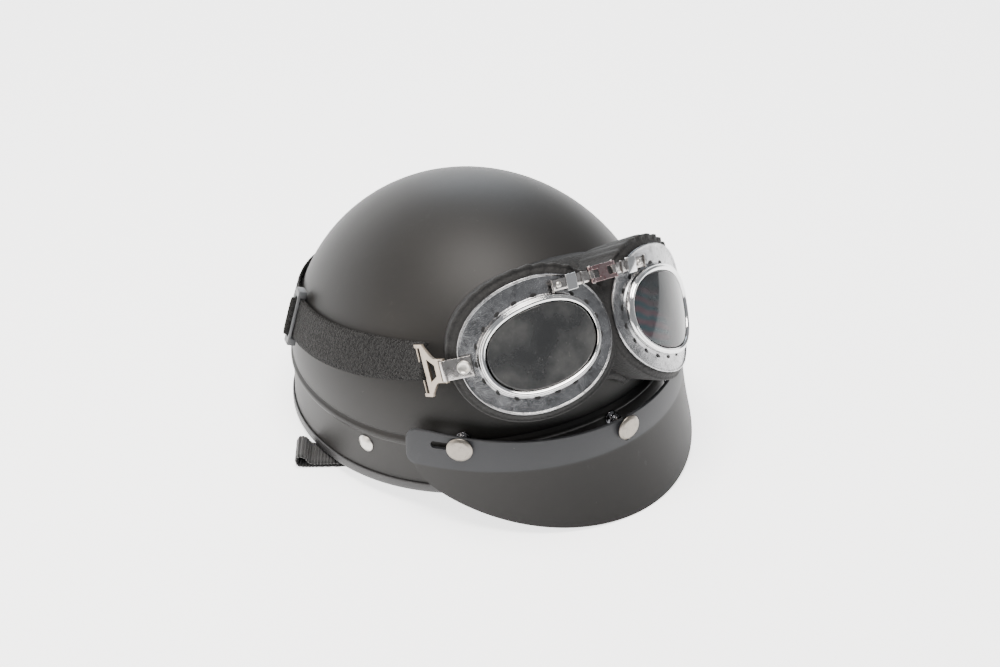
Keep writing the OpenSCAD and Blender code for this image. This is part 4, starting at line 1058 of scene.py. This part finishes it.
def buildGoggleRivets():
    parts = []
    for side in (-1, 1):
        at, axis = put(facePoint(bracketX, bracketY, 0), side), aimed(bracketOut, side)
        parts.append(lathe([(0, 3.75), (1.6, 3.8), (2.7, 4.0), (3.3, 4.6), (3.75, 4.85), (4.15, 4.6), (4.25, 4.0),
                            (4.2, 3.4), (1.45, 3.4), (1.45, 0.1), (0, 0)], at, axis))
    points, faces = joined(parts)
    meshPiece("bracketEyelets", points, faces, rivetMetal, "goggles", ("bracket_rivets",))
    z, bridgeOut = bridgeSize, Vector((0, -0.8, 0.6))
    bridgePoint = Vector((0, z["y"], z["z"])) + bridgeOut * z["off"]
    root = facePoint(z["rootX"], z["rootY"], z["rootOff"])
    along = (bridgePoint - Vector((z["end"], 0, 0)) - root).normalized()
    up = (faceN - faceR * (2 * gog["bow"] * z["rootX"])).normalized().cross(along).normalized()
    rivet = [(0, 1.45), (0.8, 1.4), (1.5, 1.1), (1.95, 0.7), (1.95, 0.5), (1.15, 0.5), (1.15, -3.7), (0, -3.8)]
    parts = [lathe(rivet, put(root, side), aimed(along.cross(up), side), 32) for side in (-1, 1)]
    points, faces = joined(parts)
    meshPiece("bridgeRivetHeads", points, faces, rivetMetal, "goggles", ("bridge_rivets",))
    cross = along.cross(up)
    for name, rows, material in (
            ("bridgeSleeves", ((5.0, 7.4, 5.1, -0.6, 2.3), (11.6, 0.9, 4.6, -0.6, 1.7)), ringChrome),
            ("clampLips", ((-4.9, 0.7, 4.1, -0.7, 1.5), (16.4, 1.2, 4.0, -0.6, 1.5)), bridgeChrome)):
        parts = []
        for side in (-1, 1):
            for start, long, half, low, high in rows:
                start = start if start < 0 else start * clampShare(root, bridgePoint)
                ends = [(x, y * half, h) for x in (start, start + long) for h in (low, high) for y in (-1, 1)]
                parts.append(softBox([put(root + along * x + up * y + cross * h, side) for x, y, h in ends], 0.35))
        points, faces = joined(parts)
        meshPiece(name, points, faces, material, "goggles")


buildGoggleRivets()

# elastic strap

strapSize = {"width": 28.0, "layer": 1.5, "low": 1.5, "slope": 0.143, "slider": 119.0, "rod": 1.6, "narrow": 3.6,
             "inset": 0.93, "rearTurn": 361.2, "steps": 170, "rearSteps": 240}
loopSize = {"half": 13, "long": 1.85, "middle": 2.5, "high": 2.45, "rows": 40, "around": 40}


def wallAngle(p):
    return math.degrees(math.atan2(p.x / shell["halfWidth"], -p.y / shell["halfLength"]))


def wallGap(p):
    w, l, h = shell["halfWidth"], shell["halfLength"], shell["crown"] - shell["widest"]
    q = Vector((p.x / w, p.y / l, (p.z - shell["widest"]) / h))
    return (q.dot(q) - 1) / (2 * Vector((q.x / w, q.y / l, q.z / h)).length)


rods = [helmetPoint(knuckle + hookX * rodReach, side) for side in (-1, 1)]
rodAngles = [wallAngle(p) for p in rods]


def sideX(a): return strapSize["inset"] * shell["halfWidth"] * sin(math.radians(a))
def sideY(a): return -strapSize["inset"] * shell["halfLength"] * cos(math.radians(a))


strapBase = rods[0].z + strapSize["slope"] * sideY(rodAngles[0])
strapSag = strapBase - strapSize["slope"] * sideY(rodAngles[1]) - rods[1].z


def strapZ(a):
    share = (sideX(a) - sideX(rodAngles[0])) / (sideX(rodAngles[1]) - sideX(rodAngles[0]))
    return strapBase - strapSize["slope"] * sideY(a) - strapSag * share ** 2


def strapFrame(a):
    p = wall(a, strapZ(a), 0)
    up = (wall(a, strapZ(a) + 1, 0) - wall(a, strapZ(a) - 1, 0)).normalized()
    return p, up, outward(p)


def strapNear(a, i, reach):
    return max(0.0, 1 - (abs(a) - abs(rodAngles[i])) / reach)


def ribbonRow(a, low, thick, width, rag):  # rounded, slightly ragged cross-section and its width coordinates
    p, up, n = strapFrame(a)
    out, half, cells = [], width / 2, 10
    for j in range(cells + 1):
        v = -1 + 2 * j / cells
        edge, reach = 0.35 if abs(v) > 0.99 else 1.0, half + (rag if abs(v) > 0.9 else 0)
        out.append((p + up * reach * v + n * (low + thick * (0.5 + 0.5 * edge)), v * half))
    for j in range(cells + 1):
        v = 1 - 2 * j / cells
        edge, reach = 0.35 if abs(v) > 0.99 else 1.0, half + (rag if abs(v) > 0.9 else 0)
        out.append((p + up * reach * v + n * (low + thick * (0.5 - 0.5 * edge)), v * half))
    return out


def ribbon(angles, lowAt, thickAt, widthAt):
    rows, uv, run, last = [], [], 0.0, None
    for k, a in enumerate(angles):
        row = ribbonRow(a, lowAt(a), thickAt(a), widthAt(a), 0.16 * sin(k * 2.4) + 0.08 * sin(k * 5.1))
        here = wall(a, strapZ(a), 0)
        run += 0 if last is None else (here - last).length
        last = here
        rows.append([stand(p) for p, v in row])
        uv += [(run, v) for p, v in row]
    points, faces = sweep(rows)
    return points, faces, uv


def together(parts):
    points, faces = joined([(p, f) for p, f, u in parts])
    return points, faces, [c for p, f, u in parts for c in u]


def buildStraps():
    z = strapSize
    hole, t = z["rod"] + 0.4, z["layer"]

    def rise(a, i):
        return (wallGap(rods[i]) - z["low"] - t - hole / 2) * min(1, strapNear(a, i, 20)) ** 2

    def swell(a, i):
        return hole * min(1, strapNear(a, i, 8) ** 3)
    for i, word, start, stop in ((0, "Right", -z["slider"] + 1.5, rodAngles[0] + 1.0),
                                 (1, "Left", z["slider"], rodAngles[1] - 1.0)):
        count = z["steps"]
        angles = [start + (stop - start) * k / count for k in range(count + 1)]

        def width(a):
            return z["width"] - z["narrow"] * min(1, strapNear(a, i, 20))
        lower = ribbon(angles, lambda a: z["low"] + rise(a, i), lambda a: t - 0.12, width)
        upper = ribbon(angles, lambda a: z["low"] + rise(a, i) + t + swell(a, i) + 0.12, lambda a: t - 0.12,
                       lambda a: width(a) - 0.8)
        # the fold round the hook's rod
        p, up, n = strapFrame(stop)
        ahead = (strapFrame(stop + (0.5 if i == 0 else -0.5))[0] - p).normalized()
        low, high = z["low"] + rise(stop, i), z["low"] + rise(stop, i) + 2 * t + swell(stop, i)
        rows, uv = [], []
        half = width(stop) / 2 - 0.2
        for j in range(29):
            v = -half + 2 * half * j / 28
            row = []
            for s in range(17):
                turn = -pi / 2 + pi * s / 16
                lift = (low + high) / 2 + (high - low) / 2 * sin(turn)
                row.append(p + up * v + n * lift + ahead * (1.5 * cos(turn)))
            for s in range(17):
                turn = pi / 2 - pi * s / 16
                lift = (low + high) / 2 + ((high - low) / 2 - t) * sin(turn)
                row.append(p + up * v + n * lift + ahead * (0.3 * cos(turn)))
            rows.append([stand(q) for q in row])
            uv += [(s * 0.3, v) for s in range(34)]
        fold = (*sweep(rows), uv)
        points, faces, uvs = together([lower, upper, fold])
        strap = meshPiece("gogglesStrap" + word, points, faces, elastic, None,
                          ("goggle_strap_" + word.lower(),), uvs)
        tuple(stand(strapFrame(start)[0]))
        tuple(stand(p))
        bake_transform(strap)
    first, arc, count = z["slider"] + 0.3, z["rearTurn"] - 2 * z["slider"] - 0.3, z["rearSteps"]
    angles = [first + arc * k / count for k in range(count + 1)]
    points, faces, uv = ribbon(angles, lambda a: z["low"], lambda a: t, lambda a: z["width"])
    meshPiece("gogglesStrapRear", points, faces, elastic, "helmet", ("goggle_strap_rear",), uv)


def sliderAxes():
    a = -strapSize["slider"]
    p = wall(a, strapZ(a), 0)
    run = (wall(a + 1, strapZ(a + 1), 0) - wall(a - 1, strapZ(a - 1), 0)).normalized()
    n = (outward(p) - run * outward(p).dot(run)).normalized()
    return p, run, n.cross(run), n


def buildSlider():
    softenEdges("strap_slider", sliderGrey, "slider", 0.7, 4)
    p, run, up, n = sliderAxes()
    low, z = strapSize["low"] + 2 * strapSize["layer"] + 0.5, loopSize
    rows, uv = [], []
    for j in range(z["rows"] + 1):
        v = -z["half"] + 2 * z["half"] * j / z["rows"]
        row = []
        squeeze = 1 - 0.18 * abs(v / z["half"]) ** 6
        for k in range(z["around"]):
            t = 2 * pi * k / z["around"]
            x = z["long"] * math.copysign(abs(cos(t)) ** 0.75, cos(t)) * squeeze
            rise = z["middle"] + z["high"] * math.copysign(abs(sin(t)) ** 0.8, sin(t)) * squeeze
            row.append(stand(p + run * x + up * v + n * (low + 0.3 + rise)))
            uv.append((k * 0.35, v))
        rows.append(row)
    points, faces = sweep(rows)
    meshPiece("foldedStrapEnd", points, faces, elastic, "slider", ("strap_end_loop",), uv)


buildStraps()
buildSlider()
print("elastic strap made")

# chin strap and buckle

webSize = {"width": 24.0, "thick": 1.6, "inside": 2.1, "rib": 2.2}
tailSize = {"x": -107, "y": 4, "wayX": -0.766, "wayY": 0.643, "heading": 230}


def floorZ(y):
    return (y * sin(restTilt) - liftZ) / cos(restTilt)


def strapStart(side, h, off):
    p = wall(side * rivetSize["angle"], h, -shell["wall"] - webSize["inside"] - off)
    return (p.x, p.y, p.z - floorZ(p.y), 281 if side < 0 else 259)


def hang(side):
    return [strapStart(side, 33, 0), strapStart(side, 25, 0), strapStart(side, 14, 0.6), strapStart(side, 7, 2)]


def tailAt(out, height):
    z = tailSize
    return (z["x"] + out * z["wayX"], z["y"] + out * z["wayY"], height, z["heading"])


# key points along each strap: across, along, height above the floor, and heading in degrees
chinRight = hang(-1) + [(-107, -26, 6, 276), (-100, -27.5, 3.6, 265), (-90, -30, 3.5, 258), (-75, -33.5, 3.6, 257),
                        (-62, -37, 4.8, 260), (-53, -40, 6.6, 270), (-43, -40, 6.6, 270)]
chinLeft = hang(1) + [(106, -26, 4.4, 262), (98, -28, 1.7, 264), (84, -32, 1.2, 266), (62, -37, 1.1, 268),
                      (50, -39, 2.6, 270), (40, -40, 5.2, 270), (32, -40, 7.2, 270), (4, -40, 7.6, 270)]
chinTail = [(-43, -40, 2.6, 270), (-53, -40, 2.5, 268), (-62, -36, 1.4, 248)]
chinTail += [tailAt(out, 0.9) for out in (-46, -30, -10, 12, 28)]
chinTail += [tailAt(32.8 + 4.2 * cos(math.radians(t)), 5.1 + 4.2 * sin(math.radians(t))) for t in (-60, -20, 20, 60)]
chinTail += [tailAt(31, 7.8), tailAt(27.4, 3.5), tailAt(20, 3.2), tailAt(8, 3.2)]


def buildWebbing(name, keys, node):
    fine = smoothRun(keys, 12)
    centres = [Vector((x, y, z + floorZ(y))) for x, y, z, a in fine]
    rows, uv, run = [], [], 0.0
    half, t = webSize["width"] / 2, webSize["thick"] / 2
    for k, q in enumerate(centres):
        way = (centres[min(len(fine) - 1, k + 1)] - centres[max(0, k - 1)]).normalized()
        a = math.radians(fine[k][3])
        across = Vector((cos(a), sin(a) * cos(restTilt), sin(a) * sin(restTilt)))
        side = (across - way * across.dot(way)).normalized()
        up = way.cross(side)
        run += 0 if k == 0 else (q - centres[k - 1]).length
        rib, reach = 0.10 * sin(run * 2 * pi / webSize["rib"]), half - 0.15 + 0.12 * sin(run * 2.85)
        row = []
        for j in range(13):
            v = -1 + 2 * j / 12
            row.append((q + side * reach * v + up * (t * (0.92 if abs(v) < 0.97 else 0.4) + rib), v * half))
        for j in range(13):
            v = 1 - 2 * j / 12
            row.append((q + side * reach * v - up * (t * (0.92 if abs(v) < 0.97 else 0.4) + rib), v * half))
        rows.append([stand(p) for p, v in row])
        uv += [(run, v) for p, v in row]
    points, faces = sweep(rows)
    return meshPiece(name, points, faces, webbing, "helmet", (node,), uv)


buildWebbing("chinStrapRight", chinRight, "chin_strap_right")
buildWebbing("chinStrapLeft", chinLeft, "chin_strap_left")
buildWebbing("chinStrapTail", chinTail, "chin_strap_tail")
softenEdges("buckle_housing", buckleBlack, "helmet", 0.9, 4)
softenEdges("buckle_lever", leverRed, "buckle_lever", 0.6, 3)
softenEdges("lever_pin", rivetMetal, "helmet", 0.2, 2)
softenEdges("buckle_tongue", rivetMetal, "buckle_tongue", 0.5, 3)
print("chin strap made")

# floor, light and camera

cameraSize = {"distance": 1.59019, "azimuth": -40.0, "elevation": 36.2388, "tilt": 4.086045, "sensor": 36.0,
              "lens": 82.8, "shiftX": 0.02156, "shiftY": 0.056}
floorSize = {"front": -4, "bend": 2, "radius": 2.5, "half": 5, "middle": 2, "steps": 24, "drop": 0.0002}


def buildStage():
    mesh = bpy.data.meshes.new("floor")
    f, rows, n = floorSize, [], floorSize["steps"]
    for i in range(n + 1):
        t = i / n
        if t < 0.5:  # flat to the bend, then curving up behind
            y, z = f["front"] + t * 2 * (f["bend"] - f["front"]), 0.0
        else:
            k = (t - 0.5) * pi
            y, z = f["bend"] + f["radius"] * sin(k), f["radius"] * (1 - cos(k))
        rows.append([(x, y, z - f["drop"]) for x in (-f["half"], -f["middle"], f["middle"], f["half"])])
    points = [p for r in rows for p in r]
    faces = [(i * 4 + j, i * 4 + j + 1, (i + 1) * 4 + j + 1, (i + 1) * 4 + j) for i in range(n) for j in range(3)]
    mesh.from_pydata(points, [], faces)
    mesh.materials.append(floorMaterial())
    for poly in mesh.polygons:
        poly.use_smooth = True
    floor = bpy.data.objects.new("floor", mesh)
    bpy.context.collection.objects.link(floor)


def softLight(name, place, target, size, power, colour=(1, 1, 1)):
    data = bpy.data.lights.new(name, "AREA")
    data.shape, data.size, data.size_y = "RECTANGLE", size[0], size[1]
    data.energy, data.color = power, colour
    lamp = bpy.data.objects.new(name, data)
    bpy.context.collection.objects.link(lamp)
    lamp.location = place
    lamp.rotation_euler = (Vector(target) - Vector(place)).to_track_quat("-Z", "Y").to_euler()
    return lamp


def buildLights():
    world = bpy.data.worlds.new("studio")
    bpy.context.scene.world = world
    world.use_nodes = True
    sky = world.node_tree.nodes["Background"].inputs
    sky["Color"].default_value = (0.95, 0.97, 1.0, 1)
    sky["Strength"].default_value = 0.42
    softLight("topPanel", (-0.15, -0.1, 1.5), (0, 0, 0.1), (0.9, 0.9), 44, (1, 0.96, 0.92))
    softLight("leftPanel", (-1.5, 0.3, 0.7), (0, 0, 0.1), (0.8, 1.0), 10, (1, 0.90, 0.80))
    softLight("backPanel", (1.1, 1.3, 0.9), (0, 0, 0.1), (0.9, 0.9), 9, (0.80, 0.90, 1))


def buildCamera():
    c = cameraSize
    a, e = math.radians(c["azimuth"]), math.radians(c["elevation"])
    back = Vector((sin(a) * cos(e), -cos(a) * cos(e), sin(e)))
    right = Vector((cos(a), sin(a), 0))
    up = back.cross(right)
    turn = Matrix.Rotation(math.radians(c["tilt"]) - restTilt, 3, "X")
    back, right, up = turn @ back, turn @ right, turn @ up
    data = bpy.data.cameras.new("camera")
    data.sensor_width, data.lens = c["sensor"], c["lens"]
    data.shift_x, data.shift_y = c["shiftX"], c["shiftY"]
    data.clip_start, data.clip_end = 0.05, 50
    camera = bpy.data.objects.new("camera", data)
    bpy.context.collection.objects.link(camera)
    place = Vector((0, 0, liftZ / 1000)) + back * c["distance"]
    camera.matrix_world = Matrix(((right.x, up.x, back.x, place.x), (right.y, up.y, back.y, place.y),
                                  (right.z, up.z, back.z, place.z), (0, 0, 0, 1)))
    bpy.context.scene.camera = camera


buildStage()
buildLights()
buildCamera()
print("scene made")
